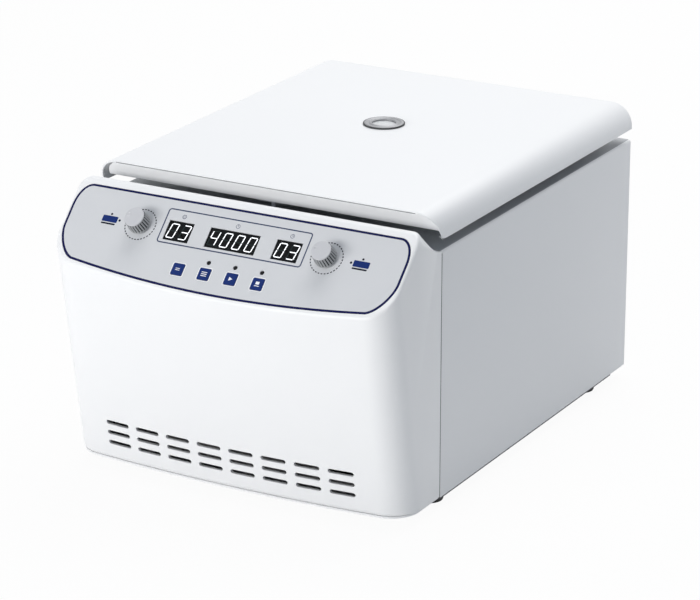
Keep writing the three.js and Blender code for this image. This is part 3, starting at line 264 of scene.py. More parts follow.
black_rubber = Finish("black_rubber", (0.006, 0.006, 0.007), 0.8, (0.7, 0.2, 0.004), (0.00008, 0.0006, 4))
for corner in ("front_left", "front_right", "rear_left", "rear_right"):
    low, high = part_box("foot_" + corner)
    foot_profile = [
        (0, 0.0012), (0.0068, 0.0012), (0.0080, 0.0), (0.0112, 0.0), (0.0124, 0.0005), (0.0129, 0.0015),
        (0.0134, 0.0040), (0.0131, 0.0043), (0.0131, 0.0048), (0.0136, 0.0051), (0.0139, 0.0066),
        (0.0137, 0.0080), (0.0129, high.z - 0.0003), (0.0118, high.z), (0, high.z),
    ]
    foot = spun("rubber_foot_" + corner, foot_profile, ((low.x + high.x) / 2, (low.y + high.y) / 2, 0))
    finished(foot, black_rubber, "rubber", "cabinet", "foot_" + corner)


# Base plate: a 2 mm steel plate, coated dark, with round corners and a pressed stiffening
# field. It closes the machine from below and carries the feet and the electronics.
def new_block(name, low, high):
    """A block between two corners, to be shaped."""
    low, high = Vector(low), Vector(high)
    return new_piece(name, bpy.ops.mesh.primitive_cube_add, size=1,
                     location=(low + high) / 2, scale=high - low)


def pick(kind, test):
    """Select the vertices, edges or faces that pass a test."""
    bpy.ops.mesh.select_mode(type=kind)
    bpy.ops.mesh.select_all(action="DESELECT")
    mesh = bmesh.from_edit_mesh(bpy.context.object.data)
    for part in {"VERT": mesh.verts, "EDGE": mesh.edges, "FACE": mesh.faces}[kind]:
        if test(part):
            part.select_set(True)
    bmesh.update_edit_mesh(bpy.context.object.data)


def middle(part):
    return sum((vertex.co for vertex in part.verts), Vector()) / len(part.verts)


def runs_along(edge, axis):
    step = edge.verts[1].co - edge.verts[0].co
    return abs(step[axis]) > 0.999 * step.length


def softened(test, offset, segments):
    """Round off the edges that pass a test."""
    pick("EDGE", test)
    bpy.ops.mesh.bevel(offset=offset, segments=segments)


dark_coat = Finish("dark_coat", (0.045, 0.047, 0.055), 0.5, (0.42, 0.16, 0.02), (0.00003, 0.0009, 3),
                   Metallic=0.25)
plate_low, plate_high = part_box("base_plate")
plate_lap = Vector((0.0028, 0, 0))
base = new_block("steel_base_plate", plate_low - plate_lap, plate_high + plate_lap)
with shaping(base):
    pick("FACE", lambda face: face.normal.z < -0.9)
    bpy.ops.mesh.inset(thickness=0.036)
    bpy.ops.mesh.inset(thickness=0.002, depth=-0.0007)
    softened(lambda edge: runs_along(edge, 2) and abs(middle(edge).x) > plate_high.x - 0.001, 0.004, 6)
finished(base, dark_coat, "dark_steel", "cabinet", "base_plate")


# Cabinet cover: one steel sheet folded over both sides and the deck, coated white, with its deck
# painted grey as the shade under the lid. The deck has the chamber's round opening and the slot that the lid's
# striker enters.
def modified(piece, kind, **settings):
    """The piece with one of Blender's modifiers applied."""
    select_only(piece)
    modifier = piece.modifiers.new(kind.lower(), kind)
    for name, setting in settings.items():
        setattr(modifier, name, setting)
    bpy.ops.object.modifier_apply(modifier=modifier.name)
    return piece


def joined(name, pieces):
    select_only(pieces[0])
    for piece in pieces:
        piece.select_set(True)
    if len(pieces) > 1:
        bpy.ops.object.join()
    pieces[0].name = name
    return pieces[0]


def cut_away(piece, *tools):
    """The piece with holes where the tools were."""
    tool = joined("cutter", list(tools))
    modified(piece, "BOOLEAN", operation="DIFFERENCE", solver="EXACT", object=tool)
    bpy.data.objects.remove(tool)
    return piece


def rod(name, radius, low, high, sides=64):
    """A round rod between two points of its axis."""
    low, high = Vector(low), Vector(high)
    return new_piece(name, bpy.ops.mesh.primitive_cylinder_add, vertices=sides, radius=radius,
                     depth=(high - low).length, location=(low + high) / 2,
                     rotation=(high - low).to_track_quat("Z", "Y").to_euler())


def second_finish(piece, test):
    """Give the faces that pass a test the piece's second finish."""
    for face in piece.data.polygons:
        face.material_index = int(test(face))


white_coat = Finish("white_coat", (0.86, 0.865, 0.88), 0.42, (0.38, 0.1, 0.03), (0.00002, 0.0016, 3),
                    (0.12, (0.868, 0.871, 0.876), (0.88, 0.882, 0.886)))
# A grey for the deck and for the casing's slope behind its crest: painted shade under the lid.
under_lid_shade_grey = Finish("under_lid_shade_grey", (0.44, 0.455, 0.475), 0.45, (0.4, 0.1, 0.03), (0.00002, 0.0016, 3))

cover_low, cover_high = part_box("cabinet_shell")
seam = cover_low.y - 0.0003
rotor_y = seam + 0.213
deck = cover_high.z
sheet = 0.002
cover_front = seam + 0.0017
cover = new_block("folded_cover", (cover_low.x, cover_front, cover_low.z), cover_high)
with shaping(cover):
    pick("FACE", lambda face: abs(face.normal.y) > 0.9 or face.normal.z < -0.9)
    bpy.ops.mesh.delete(type="FACE")
    softened(lambda edge: runs_along(edge, 1) and middle(edge).z > deck - 0.001, 0.003, 5)
modified(cover, "SOLIDIFY", thickness=sheet, offset=-1, use_even_offset=True)
cut_away(
    cover,
    rod("opening", 0.1442, (0, rotor_y, deck - 0.01), (0, rotor_y, deck + 0.01), 128),
    new_block("slot", (-0.0097, seam + 0.0055, deck - 0.01), (0.0097, seam + 0.0145, deck + 0.01)),
)
with shaping(cover):
    softened(lambda edge: abs(middle(edge).y - cover_front) < 1e-5 and edge.calc_face_angle(0) > 1, 0.0006, 2)
finished(cover, [white_coat, under_lid_shade_grey], "white_paint", "cabinet", "cabinet_shell")
# The deck's upper faces take the grey: painted shade under the lid.
second_finish(cover, lambda face: face.center.z > deck - 0.0005 and face.normal.z > 0.9)


# Seam strip: a black strip along the cover's front edge. It fills the seam between the cover and
# the front casing, a little below their surfaces: a dark piece that stands for the shade in the seam.
strip_side, strip_inside = cover_high.x - 0.0004, cover_high.x - 0.0028
seam_shade_strip = new_block("seam_shade_strip", (-strip_side, seam + 0.0001, plate_high.z),
                       (strip_side, seam + 0.0016, deck - 0.0004))
with shaping(seam_shade_strip):
    softened(lambda edge: runs_along(edge, 1) and middle(edge).z > deck - 0.001, 0.0026, 4)
cut_away(seam_shade_strip, new_block("cutter", (-strip_inside, seam - 0.01, plate_high.z - 0.01),
                               (strip_inside, seam + 0.01, deck - 0.0028)))
finished(seam_shade_strip, black_rubber, "rubber", "cabinet")


# Front casing: one white moulding with a bowed and slightly leaning front, a 45 degree face for
# the panel, a rounded crest and soft shoulders. It hooks onto the cover's front edge.
casing_half = cover_high.x
casing_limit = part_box("front_bezel")[0].y
casing_foot = cover_low.z + 0.0012
casing_lean = 0.168
casing_crest = deck + 0.0258
corner_radius, shoulder_radius, edge_radius, end_radius, foot_radius = 0.026, 0.011, 0.006, 0.003, 0.004
casing_slope = 0.033 + casing_crest - edge_radius + edge_radius * sqrt(2)


def arc(centre, radius, start, end, steps):
    turns = (start + (end - start) * step / steps for step in range(steps + 1))
    return [(centre[0] + radius * cos(turn), centre[1] + radius * sin(turn)) for turn in turns]


def round_off(across, half, radius):
    """How far a rounded side has dropped back at a place across the width."""
    over = across - (half - radius)
    return radius - sqrt(max(0, radius * radius - over * over)) if over > 0 else 0


def bent(start, pull, end, parts):
    """Points along a curve from start to end, drawn towards one pull."""
    return [(1 - part) ** 2 * start + 2 * part * (1 - part) * pull + part ** 2 * end for part in parts]


def casing_section(x, inset, back):
    """The casing's outline at one place across: reach in front of the seam, and level."""
    across, half, edge = abs(x), casing_half - inset, edge_radius - inset
    lean_length = hypot(1, casing_lean)
    bow = 0.0075 * (across / 0.149) ** 2
    front_foot = 0.072 - bow - round_off(across, half, corner_radius - inset) - inset * lean_length
    slope = casing_slope - (inset + round_off(across, half, max(0, end_radius - inset))) * sqrt(2)
    top = casing_crest - inset - round_off(across, half, shoulder_radius - inset)
    foot = casing_foot + inset
    rounding = max(0, foot_radius - inset)
    reach = front_foot + casing_lean * (foot + rounding - cover_low.z)
    points = [(back, foot), *arc((reach - rounding, foot + rounding), rounding, -pi / 2, 0, 4)]
    meet = (slope - front_foot + casing_lean * cover_low.z) / (1 + casing_lean)
    lean = atan(casing_lean)
    tangent = edge * tan((pi / 4 + lean) / 2)
    corner = (
        front_foot + casing_lean * (meet - cover_low.z) - tangent * casing_lean / lean_length - edge / lean_length,
        meet - tangent / lean_length + edge * casing_lean / lean_length,
    )
    low, bend = Vector(points[-1]), arc(corner, edge, -lean, pi / 4, 8)
    points += [tuple(low.lerp(bend[0], step / 16)) for step in range(1, 16)] + bend

    # The crest, then the slope behind it and its hollow foot on the deck
    crest = Vector((slope - edge * sqrt(2) - top + edge, top - edge))
    foot_way = crest - Vector((0.0055, deck))
    fall = atan2(foot_way.y, foot_way.x) + asin(edge_radius / foot_way.length)
    ridge = arc(crest, edge, pi / 4, pi / 2 + fall, 14)
    deck_line = deck - inset
    corner = Vector((ridge[-1][0] - (ridge[-1][1] - deck_line) / tan(fall), deck_line))
    foot_curve = bent(corner.lerp(ridge[-1], 0.4), corner, corner - Vector((0.005, 0)),
                      [step / 8 for step in range(9)])
    return points + ridge + [tuple(point) for point in foot_curve] + [(back, deck_line)]


def casing_places(half):
    """Places across the casing, closer together at its round corners."""
    flat = casing_half - corner_radius
    places = [flat * step / 12 for step in range(13)]
    places += [flat + (half - flat) * sin(pi / 2 * step / 12) for step in range(1, 13)]
    return [-place for place in reversed(places[1:])] + places


def casing_body(name, inset, back):
    """A grid bent through the casing's outlines, then closed at its two ends."""
    rings = []
    for place in casing_places(casing_half - inset):
        section = casing_section(place, inset, back)
        rings.append([(place, max(casing_limit, seam - reach), level) for reach, level in section + section[:1]])
    columns, rows = len(rings) - 1, len(rings[0]) - 1
    piece = new_piece(name, bpy.ops.mesh.primitive_grid_add, x_subdivisions=columns, y_subdivisions=rows, size=1)
    for vertex in piece.data.vertices:
        ring = rings[round((vertex.co.x + 0.5) * columns)]
        vertex.co = ring[round((vertex.co.y + 0.5) * rows)]
    with shaping(piece):
        outwards()
        for side in (-1, 1):
            pick("EDGE", lambda edge: edge.is_boundary and middle(edge).x * side > 0)
            bpy.ops.mesh.edge_face_add()
        outwards()
    return piece


panel_place = Matrix.Translation((0, seam - 0.0402125, 0.2650728)) @ Matrix.Rotation(pi / 4, 4, "X")
display_spots = {"left": (-0.0555, 0.0252), "middle": (0, 0.0504), "right": (0.0555, 0.0252)}
display_row, display_tall = -0.03149, 0.0192
key_spots = [-0.0408, -0.0136, 0.0136, 0.0408]
key_row, lamp_row, knob_row = -0.0673, -0.05578, -0.03131
board_face = -0.0087
knob_spots = {"left": -0.0956, "right": 0.0956}


def onto_panel(piece, x=0, y=0):
    """A piece drawn flat, moved onto the slanted panel."""
    piece.matrix_world = panel_place @ Matrix.Translation((x, y, 0))
    return settled(piece)


def panel_outline(grow):
    """The panel's outline: straight top, round shoulders, drawn-in foot corners and a bowed foot."""
    wide, low = 0.172 + grow, -0.076 - grow
    right = [Vector((wide - 0.0147, grow))]
    for steps, *ends in (
        (14, (wide - 0.007, grow), (wide, -0.008), (wide, -0.024)),
        (1, (wide - 0.0003, -0.044)),
        (18, (wide - 0.0006, -0.0545), (wide - 0.0098, low + 0.0038), (wide - 0.0212, low)),
    ):
        if steps == 1:
            right.append(Vector(ends[0]))
            continue
        start, (first, second, end) = right[-1], map(Vector, ends)
        for part in (step / steps for step in range(1, steps + 1)):
            rest = 1 - part
            right.append(rest ** 3 * start + 3 * part * rest ** 2 * first + 3 * part ** 2 * rest * second
                         + part ** 3 * end)
    start = right[-1]
    right += bent(start, Vector((0, -0.097 - grow)), Vector((-start.x, low)), [step / 24 for step in range(1, 13)])
    return right + [Vector((-point.x, point.y)) for point in reversed(right[:-1])]


def pushed_out(step):
    bpy.ops.mesh.extrude_region_move(TRANSFORM_OT_translate={"value": step})


def flat_sheet(name, outline, low, high):
    """A sheet cut to an outline, between two levels."""
    piece = new_piece(name, bpy.ops.mesh.primitive_circle_add, vertices=len(outline), fill_type="NGON")
    for vertex, (x, y) in zip(piece.data.vertices, outline):
        vertex.co = (x, y, low)
    with shaping(piece):
        take_all()
        pushed_out((0, 0, high - low))
        outwards()
    return piece


def slot_cutter(reach, radius, low, high, place):
    """A cutter for a level slot with round ends."""
    ends = arc((reach, 0), radius, -pi / 2, pi / 2, 8)
    tool = flat_sheet("cutter", ends + [(-across, -up) for across, up in ends], low, high)
    return placed(tool, place, (pi / 2, 0, 0))


def upright_block(name, x, y, wide, tall, low, high):
    """A block round an upright line, between two levels."""
    return new_block(name, (x - wide / 2, y - tall / 2, low), (x + wide / 2, y + tall / 2, high))


def panel_cutters(low, high):
    tools = [upright_block("cutter", x, display_row, wide + 0.0006, display_tall + 0.0006, low, high)
             for x, wide in display_spots.values()]
    tools += [upright_block("cutter", x, key_row, 0.012, 0.012, low, high) for x in key_spots]
    tools += [rod("cutter", 0.0022, (x, lamp_row, low), (x, lamp_row, high), 24) for x in key_spots[1:]]
    tools += [rod("cutter", 0.0045, (x, knob_row, low), (x, knob_row, high), 32) for x in knob_spots.values()]
    return [onto_panel(tool) for tool in tools]


white_moulding = Finish("white_moulding", (0.87, 0.875, 0.888), 0.36, (0.32, 0.1, 0.02), (0.000012, 0.0007, 3),
                        (0.15, (0.868, 0.869, 0.872), (0.88, 0.881, 0.883)))
casing = casing_body("front_casing", 0, 0)
cut_away(casing, casing_body("casing_hollow", 0.003, -0.002))
recess = onto_panel(flat_sheet("cutter", panel_outline(0.0003), -0.0011, 0.002))
vent_reach, vent_radius, vent_pitch, vent_rise = 0.01055, 0.0021, 0.0334, 0.0104
vents_middle, vents_low = -0.0011, cover_low.z + 0.0184
vents = [slot_cutter(vent_reach, vent_radius, 0.02, 0.1,
                     ((column - 3.5) * vent_pitch + vents_middle, seam, vents_low + row * vent_rise))
         for column in range(8) for row in range(3)]
cut_away(casing, recess, *vents)
cut_away(casing, *panel_cutters(-0.006, 0.002))
finished(casing, [white_moulding, under_lid_shade_grey], "white_plastic", "cabinet", "front_bezel")
# The casing's slope behind its crest takes the same grey: painted shade under the lid.
second_finish(casing, lambda face: face.center.z > deck and face.center.y > seam - 0.034 and face.normal.y > 0.45)


# Foot rim: a white moulded rim snapped under the front casing. It follows the casing's foot a
# little behind its front and closes the joint to the base plate.
rim_low, rim_high = casing_foot - 0.0016, casing_foot


def rim_outline(inset):
    """The casing's foot from above, drawn in all round, with a straight back at the seam."""
    half = casing_half - inset
    front = [(place, seam - max(casing_section(place, inset, 0)[:6])[0]) for place in casing_places(half)]
    return front + [(half, seam - inset / 4), (-half, seam - inset / 4)]


foot_rim = flat_sheet("casing_foot_rim", rim_outline(0.0012), rim_low, rim_high)
cut_away(foot_rim, flat_sheet("cutter", rim_outline(0.0038), rim_low - 0.001, rim_high + 0.001))
finished(foot_rim, white_moulding, "white_plastic", "cabinet")


# Panel sheet: printed polycarbonate film on a thin plate, set into the casing's recess. Its
# grey field has a navy line round its edge, and its openings fit the displays, keys and knobs.
panel_film = Finish("panel_film", (0.6, 0.605, 0.625), 0.5, (0.44, 0.12, 0.0008, 3), (0.000012, 0.0004, 3),
                    (0.03, (0.622, 0.632, 0.65), (0.645, 0.653, 0.67)))
navy_print = Finish("navy_print", (0.003, 0.005, 0.06), 0.4, (0.36, 0.1, 0.0008, 3), (0.00001, 0.0004, 3),
                    Specular_IOR_Level=0.15)

film = flat_sheet("panel_film", panel_outline(0), -0.0008, 0)
with shaping(film):
    pick("FACE", lambda face: face.normal.z > 0.9)
    bpy.ops.mesh.inset(thickness=0.002)
    for face in bmesh.from_edit_mesh(film.data).faces:
        face.material_index = 0 if face.select else 1
    bmesh.update_edit_mesh(film.data)
for finish in (panel_film, navy_print):
    film.data.materials.append(finish.material)
cut_away(onto_panel(film), *panel_cutters(-0.004, 0.002))
finished(film, [panel_film, navy_print], "panel_grey", "cabinet", "panel_overlay")


# Prints on the panel: the frame round the displays, dashed rings round the knobs, a blue block
# with its bar and two dots beside each knob, small signs over the displays and halos of the keys.
def print_ink(name, colour, roughness, least, **fixed):
    return Finish(name, colour, roughness, (least, 0.1, 0.0008, 3), **fixed)


slate_print = print_ink("slate_print", (0.045, 0.06, 0.12), 0.45, 0.4, Specular_IOR_Level=0.2)
blue_print = print_ink("blue_print", (0.006, 0.024, 0.14), 0.4, 0.36, Specular_IOR_Level=0.15)
ink_print = print_ink("ink_print", (0.008, 0.010, 0.022), 0.45, 0.4, Specular_IOR_Level=0.1)
white_print = print_ink("white_print", (0.88, 0.885, 0.9), 0.45, 0.4)


def rounded(x, y, wide, tall, radius, steps=5):
    """A rectangle's outline with round corners."""
    points = []
    for turn, (side, end) in enumerate(((1, 1), (-1, 1), (-1, -1), (1, -1))):
        centre = (x + side * (wide / 2 - radius), y + end * (tall / 2 - radius))
        points += arc(centre, radius, turn * pi / 2, (turn + 1) * pi / 2, steps)
    return points


def circle(centre, radius, sides):
    return arc(centre, radius, 0, tau * (sides - 1) / sides, sides - 1)


def printed(outline):
    return flat_sheet("print", outline, 0.00001, 0.00004)


def printed_line(outline, width):
    """A closed printed line: a filled outline with its middle taken out."""
    piece = printed(outline)
    with shaping(piece):
        pick("FACE", lambda face: abs(face.normal.z) > 0.9)
        bpy.ops.mesh.inset(thickness=width)
        bpy.ops.mesh.delete(type="ONLY_FACE")
        pick("EDGE", lambda edge: edge.is_boundary)
        bpy.ops.mesh.bridge_edge_loops()
        outwards()
    return piece


def print_piece(name, prints, finish, slot):
    finished(onto_panel(joined(name, prints)), finish, slot, "cabinet")


print_piece("display_frame_line", [printed_line(rounded(0.0004, -0.02745, 0.1480, 0.0348, 0.003), 0.0012)],
            slate_print, "key_navy")
halos = [printed_line(rounded(x, key_row, 0.0139, 0.0139, 0.0021), 0.0009) for x in key_spots]
print_piece("key_halos", halos, white_print, "white_paint")

inks, blues = [], []
for sign, knob_x in zip((-1, 1), knob_spots.values()):
    for turn in (tau * dash / 32 for dash in range(32)):
        outer = arc((knob_x, knob_row), 0.0157, turn, turn + 0.115, 3)
        inks.append(printed(outer + arc((knob_x, knob_row), 0.0147, turn + 0.115, turn, 3)))
    x = sign * 0.129 + 0.0009
    blues.append(printed(rounded(x, -0.0312, 0.0158, 0.0062, 0.0008)))
    inks.append(printed(rounded(x - 0.0003, -0.0360, 0.0146, 0.0016, 0.0005)))
    inks.append(printed(circle((x, -0.0262), 0.0011, 12)))
    inks.append(printed(circle((x - sign * 0.0102, -0.0312), 0.0012, 12)))
print_piece("panel_ink_marks", inks, ink_print, "display_black")
print_piece("panel_blue_marks", blues, blue_print, "key_navy")

sign_x, sign_row = 0.0555, -0.0165
signs = [printed_line(circle((x, sign_row), 0.0021, 24), 0.0004) for x in (-sign_x, 0, sign_x)]
signs.append(printed(rounded(sign_x, -0.0158, 0.0004, 0.0016, 0.0001, 1)))
signs.append(printed(rounded(0.0561, sign_row, 0.0014, 0.0004, 0.0001, 1)))
signs.append(printed(rounded(0, -0.0160, 0.0004, 0.0020, 0.0001, 1)))
signs += [printed(circle(spot, 0.00033, 8)) for spot in circle((-sign_x, sign_row), 0.0011, 6)]
print_piece("display_signs", signs, slate_print, "key_navy")


# Displays: seven-segment modules on the control board, showing through the sheet's openings.
# Each has a dark window in a thin rim, with slanted white segments, lit and unlit.
display_case = Finish("display_case", (0.004, 0.005, 0.006), 0.3, (0.24, 0.12, 0.002), (0.000008, 0.0005, 3),
                      Specular_IOR_Level=0.1)
lit_segment = Finish("lit_segment", (0.9, 0.92, 0.95), 0.4, Emission_Strength=0.75)
lit_segment.give("Emission Color", lit_segment.mixed(lit_segment.spots(0.0015), (0.9, 0.95, 1.0), (1.0, 1.0, 1.0)))
dull_segment = Finish("dull_segment", (0.016, 0.026, 0.026), 0.45, (0.4, 0.1, 0.001), Specular_IOR_Level=0.1)

segment_strokes = {
    "a": (0, 1, 0), "g": (0, 0, 0), "d": (0, -1, 0),
    "b": (1, 0.5, 1), "c": (1, -0.5, 1), "e": (-1, -0.5, 1), "f": (-1, 0.5, 1),
}
shown_segments = {"0": "abcdef", "3": "abcdg", "4": "bcfg"}
digit_tall, digit_wide, digit_pitch, stroke = 0.0139, 0.0070, 0.0126, 0.0009
digit_slant = tan(radians(9))


def segment(outline):
    return flat_sheet("segment", outline, -0.00049, -0.00044)


def segment_outline(x, y, upright):
    """A bar with pointed ends, leaning with its digit."""
    length = (digit_tall / 2 if upright else digit_wide) - 0.0003
    half, width = length / 2, stroke / 2
    points = [(half, 0), (half - width, width), (width - half, width), (-half, 0),
              (width - half, -width), (half - width, -width)]
    if upright:
        points = [(-across, along) for along, across in points]
    return [(x + across + (y + up - display_row) * digit_slant, y + up) for across, up in points]


for name, (centre_x, wide) in display_spots.items():
    case = upright_block("display_case_" + name, centre_x, display_row, wide, display_tall, board_face, -0.0003)
    with shaping(case):
        softened(lambda edge: runs_along(edge, 2), 0.0004, 2)
        pick("FACE", lambda face: face.normal.z > 0.9)
        bpy.ops.mesh.inset(thickness=0.0005)
        bpy.ops.mesh.inset(thickness=0.0001, depth=-0.0002)
    finished(onto_panel(case), display_case, "display_black", "cabinet", "display_" + name)
    lit, dull = [], []
    digits = "4000" if name == "middle" else "03"
    for place, digit in enumerate(digits):
        x = centre_x + (place - (len(digits) - 1) / 2) * digit_pitch
        for letter, (across, up, upright) in segment_strokes.items():
            outline = segment_outline(x + across * digit_wide / 2, display_row + up * digit_tall / 2, upright)
            (lit if letter in shown_segments[digit] else dull).append(segment(outline))
        dull.append(segment(circle((x + digit_wide / 2 + 0.0016, display_row - digit_tall / 2), 0.0006, 12)))
    print_piece("lit_segments_" + name, lit, lit_segment, "white_plastic")
    print_piece("dull_segments_" + name, dull, dull_segment, "display_black")


# Keys: four moulded navy caps with white signs, each held behind the panel by its flange and
# pressing a switch on the board with its stem.
key_navy = Finish("key_navy", (0.008, 0.027, 0.15), 0.4, (0.34, 0.12, 0.001, 3), (0.00001, 0.0005, 3),
                  (0.01, (0.007, 0.025, 0.14), (0.009, 0.029, 0.16)), Specular_IOR_Level=0.15)
key_wide, key_flange, key_stem = 0.0114, 0.0142, 0.005


def grown_face(scale, step):
    """The selected end face widened in its plane, then pushed out."""
    pushed_out((0, 0, 0))
    bpy.ops.transform.resize(value=(scale, scale, 1), center_override=(0, 0, 0))
    pushed_out((0, 0, step))


key_marks = [
    [rounded(0, up, 0.0044, 0.0006, 0.0002, 2) for up in (0.0008, -0.0008)],
    [rounded(0, up, 0.0056, 0.0007, 0.0002, 2) for up in (0.0018, 0, -0.0018)],
    [[(-0.0016, -0.0019), (0.0021, 0), (-0.0016, 0.0019)]],
    [rounded(0, 0.0009, 0.0036, 0.0028, 0.0003, 2), rounded(0, -0.0019, 0.0048, 0.0008, 0.0002, 2)],
]
for count, x in enumerate(key_spots, 1):
    cap = upright_block(f"key_cap_{count}", 0, 0, key_wide, key_wide, -0.0033, 0.0006)
    with shaping(cap):
        softened(lambda edge: runs_along(edge, 2), 0.0013, 5)
        softened(lambda edge: middle(edge).z > 0.0005, 0.0003, 3)
        pick("FACE", lambda face: face.normal.z < -0.9)
        grown_face(key_flange / key_wide, -0.0012)
        grown_face(key_stem / key_flange, -0.0019)
    finished(onto_panel(cap, x, key_row), key_navy, "key_navy", f"press_{count}", f"key_{count}")
for count, (x, marks) in enumerate(zip(key_spots, key_marks), 1):
    sign = joined(f"key_sign_{count}", [flat_sheet("sign", mark, 0.00061, 0.00064) for mark in marks])
    finished(onto_panel(sign, x, key_row), white_print, "white_paint", f"press_{count}")


# Lamps: three dark indicator lenses, moulded with a soft dome, on lamps of the control board.
# They show through the sheet over the second, third and fourth key.
lamp_lens = Finish("lamp_lens", (0.006, 0.006, 0.008), 0.2, (0.16, 0.1, 0.001), Specular_IOR_Level=0.2)
lens_profile = [(0, board_face), (0.0019, board_face), (0.0019, -0.0004), (0.00165, -0.00005),
                (0.0011, 0.00014), (0, 0.0002)]
for count, x in enumerate(key_spots[1:], 1):
    lamp = onto_panel(spun(f"lamp_{count}", lens_profile, (0, 0, 0), steps=32), x, lamp_row)
    finished(lamp, lamp_lens, "lamp_dark", "cabinet", f"led_{count}")


# Knobs: satin grey mouldings with fine ribs round a slight taper, their grooves painted dark as shade, on the shafts
# of the encoders.
# Each turns and pushes, and carries a pale cap with a small finger dimple.
knob_grey = Finish("knob_grey", (0.37, 0.38, 0.39), 0.42, (0.36, 0.12, 0.001, 3), (0.00001, 0.0004, 3),
                   (0.004, (0.36, 0.37, 0.38), (0.38, 0.39, 0.4)))
knob_groove_shade = Finish("knob_groove_shade", (0.03, 0.033, 0.033), 0.5, (0.45, 0.1, 0.001, 3), Specular_IOR_Level=0.2)
cap_satin = Finish("cap_satin", (0.56, 0.565, 0.59), 0.36, (0.32, 0.1, 0.0008, 3), None,
                   (0.006, (0.55, 0.555, 0.58), (0.575, 0.58, 0.6)))
bright_steel = Finish("bright_steel", (0.55, 0.56, 0.59), 0.3, (0.24, 0.14, 0.003, 3),
                      (0.00001, 0.0006, 4), Metallic=1.0)

knob_profile = [
    (0, 0.0048), (0.0065, 0.0048), (0.0065, 0.0012), (0.0100, 0.0012), (0.0104, 0.0014), (0.0104, 0.0022),
    (0.0098, 0.0026), (0.00905, 0.0126), (0.0087, 0.0130), (0, 0.0132),
]
cap_profile = [(0, 0.0135), (0.0090, 0.0135), (0.0094, 0.0138), (0.0094, 0.0143), (0.0090, 0.0147), (0, 0.0147)]
knob_steps, rib_low, rib_high, rib_radius = 120, 0.0028, 0.0124, 0.0088


def sector(face, count):
    """Which of the `count` parts round the axis a face is in."""
    place = middle(face)
    return round(atan2(place.y, place.x) / tau * count - 0.5) % count


for side, x in knob_spots.items():
    knob = spun("ribbed_knob_" + side, knob_profile, (0, 0, 0), steps=knob_steps)
    with shaping(knob):
        pick("FACE", lambda face: rib_low < middle(face).z < rib_high and middle(face).xy.length > rib_radius
             and sector(face, knob_steps) % 5 < 3)
        bpy.ops.mesh.inset(thickness=0.0001, depth=0.0007)
    # The grooves between the ribs take the dark finish: painted shade in the hollows.
    second_finish(knob, lambda face: rib_low < face.center.z < rib_high
                  and rib_radius < face.center.xy.length < 0.0101 - 0.075 * (face.center.z - 0.0026))
    cap = spun("knob_end_cap_" + side, cap_profile, (0, 0, 0))
    cut_away(cap, new_piece("cutter", bpy.ops.mesh.primitive_uv_sphere_add, segments=24, ring_count=12,
                            radius=0.0024, location=(-0.0058, 0.0014, 0.0164)))
    stem = rod("knob_stem_" + side, 0.003, (0, 0, -0.0063), (0, 0, 0.005), 24)
    with shaping(stem):
        softened(lambda edge: middle(edge).z < -0.006 and not runs_along(edge, 2), 0.0004, 2)
    for part in (knob, cap, stem):
        onto_panel(part, x, knob_row)
    finished(knob, [knob_grey, knob_groove_shade], "knob_grey", "dial_" + side, "knob_" + side)
    finished(cap, cap_satin, "cap_grey", "dial_" + side, "knob_cap_" + side)
    finished(stem, bright_steel, "steel", "dial_" + side)


# Lid: a white coated sheet rolled down along both sides, its slanted front end painted grey as shade,
# over a white inner moulding that shows as the front band, painted lighter as light on it. Two hinges carry it.
lid_low, lid_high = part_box("lid_shell")
lid_half, lid_top, lid_back = lid_high.x, lid_high.z, lid_high.y
lid_front = seam - 0.0111
roll, window_bore = 0.022, 0.0149


def halved(place, towards, clear=True):
    """Cut the whole mesh by a plane, and clear what lies beyond it."""
    take_all()
    bpy.ops.mesh.bisect(plane_co=place, plane_no=towards, clear_outer=clear, use_fill=clear)


def slanted(piece, setback=0):
    """Cut off the piece's front end on the lid's slant."""
    with shaping(piece):
        halved((0, lid_front + setback, lid_top), (0, -1, -0.45))
        outwards()
    return piece


def window_cutter(low):
    return rod("cutter", window_bore, (0, rotor_y, low), (0, rotor_y, lid_top + 0.01), 64)


skin = new_block("lid_sheet", (-lid_half, lid_front - 0.01, lid_low.z), (lid_half, lid_back, lid_top))
with shaping(skin):
    softened(lambda edge: runs_along(edge, 1) and middle(edge).z > lid_top - 0.001, roll, 16)
slanted(skin)
with shaping(skin):
    softened(lambda edge: runs_along(edge, 0) and middle(edge).z < lid_low.z + 1e-5
             and middle(edge).y < seam + 0.05, 0.0036, 6)
    pick("FACE", lambda face: face.normal.z < -0.1 or abs(face.normal.y) > 0.3)
    bpy.ops.mesh.delete(type="FACE")
modified(skin, "SOLIDIFY", thickness=sheet, offset=-1, use_even_offset=True)
cut_away(skin, window_cutter(lid_top - 0.006))
with shaping(skin):
    softened(lambda edge: edge.calc_face_angle(0) > 1 and middle(edge).xy.length > 0.02
             and abs(middle(edge).y - rotor_y) > 0.02, 0.00095, 4)
# Grey for the lid sheet's downward-facing front edge: painted shade.
edge_shade_grey = Finish("edge_shade_grey", (0.22, 0.225, 0.235), 0.6, (0.55, 0.1, 0.004))
finished(skin, [white_coat, edge_shade_grey], "white_paint", "lid", "lid_shell")
second_finish(skin, lambda face: face.center.y < lid_front + 0.004 and abs(face.center.x) < lid_half - roll
              and face.normal.y < -0.3 and face.normal.z < 0.1)

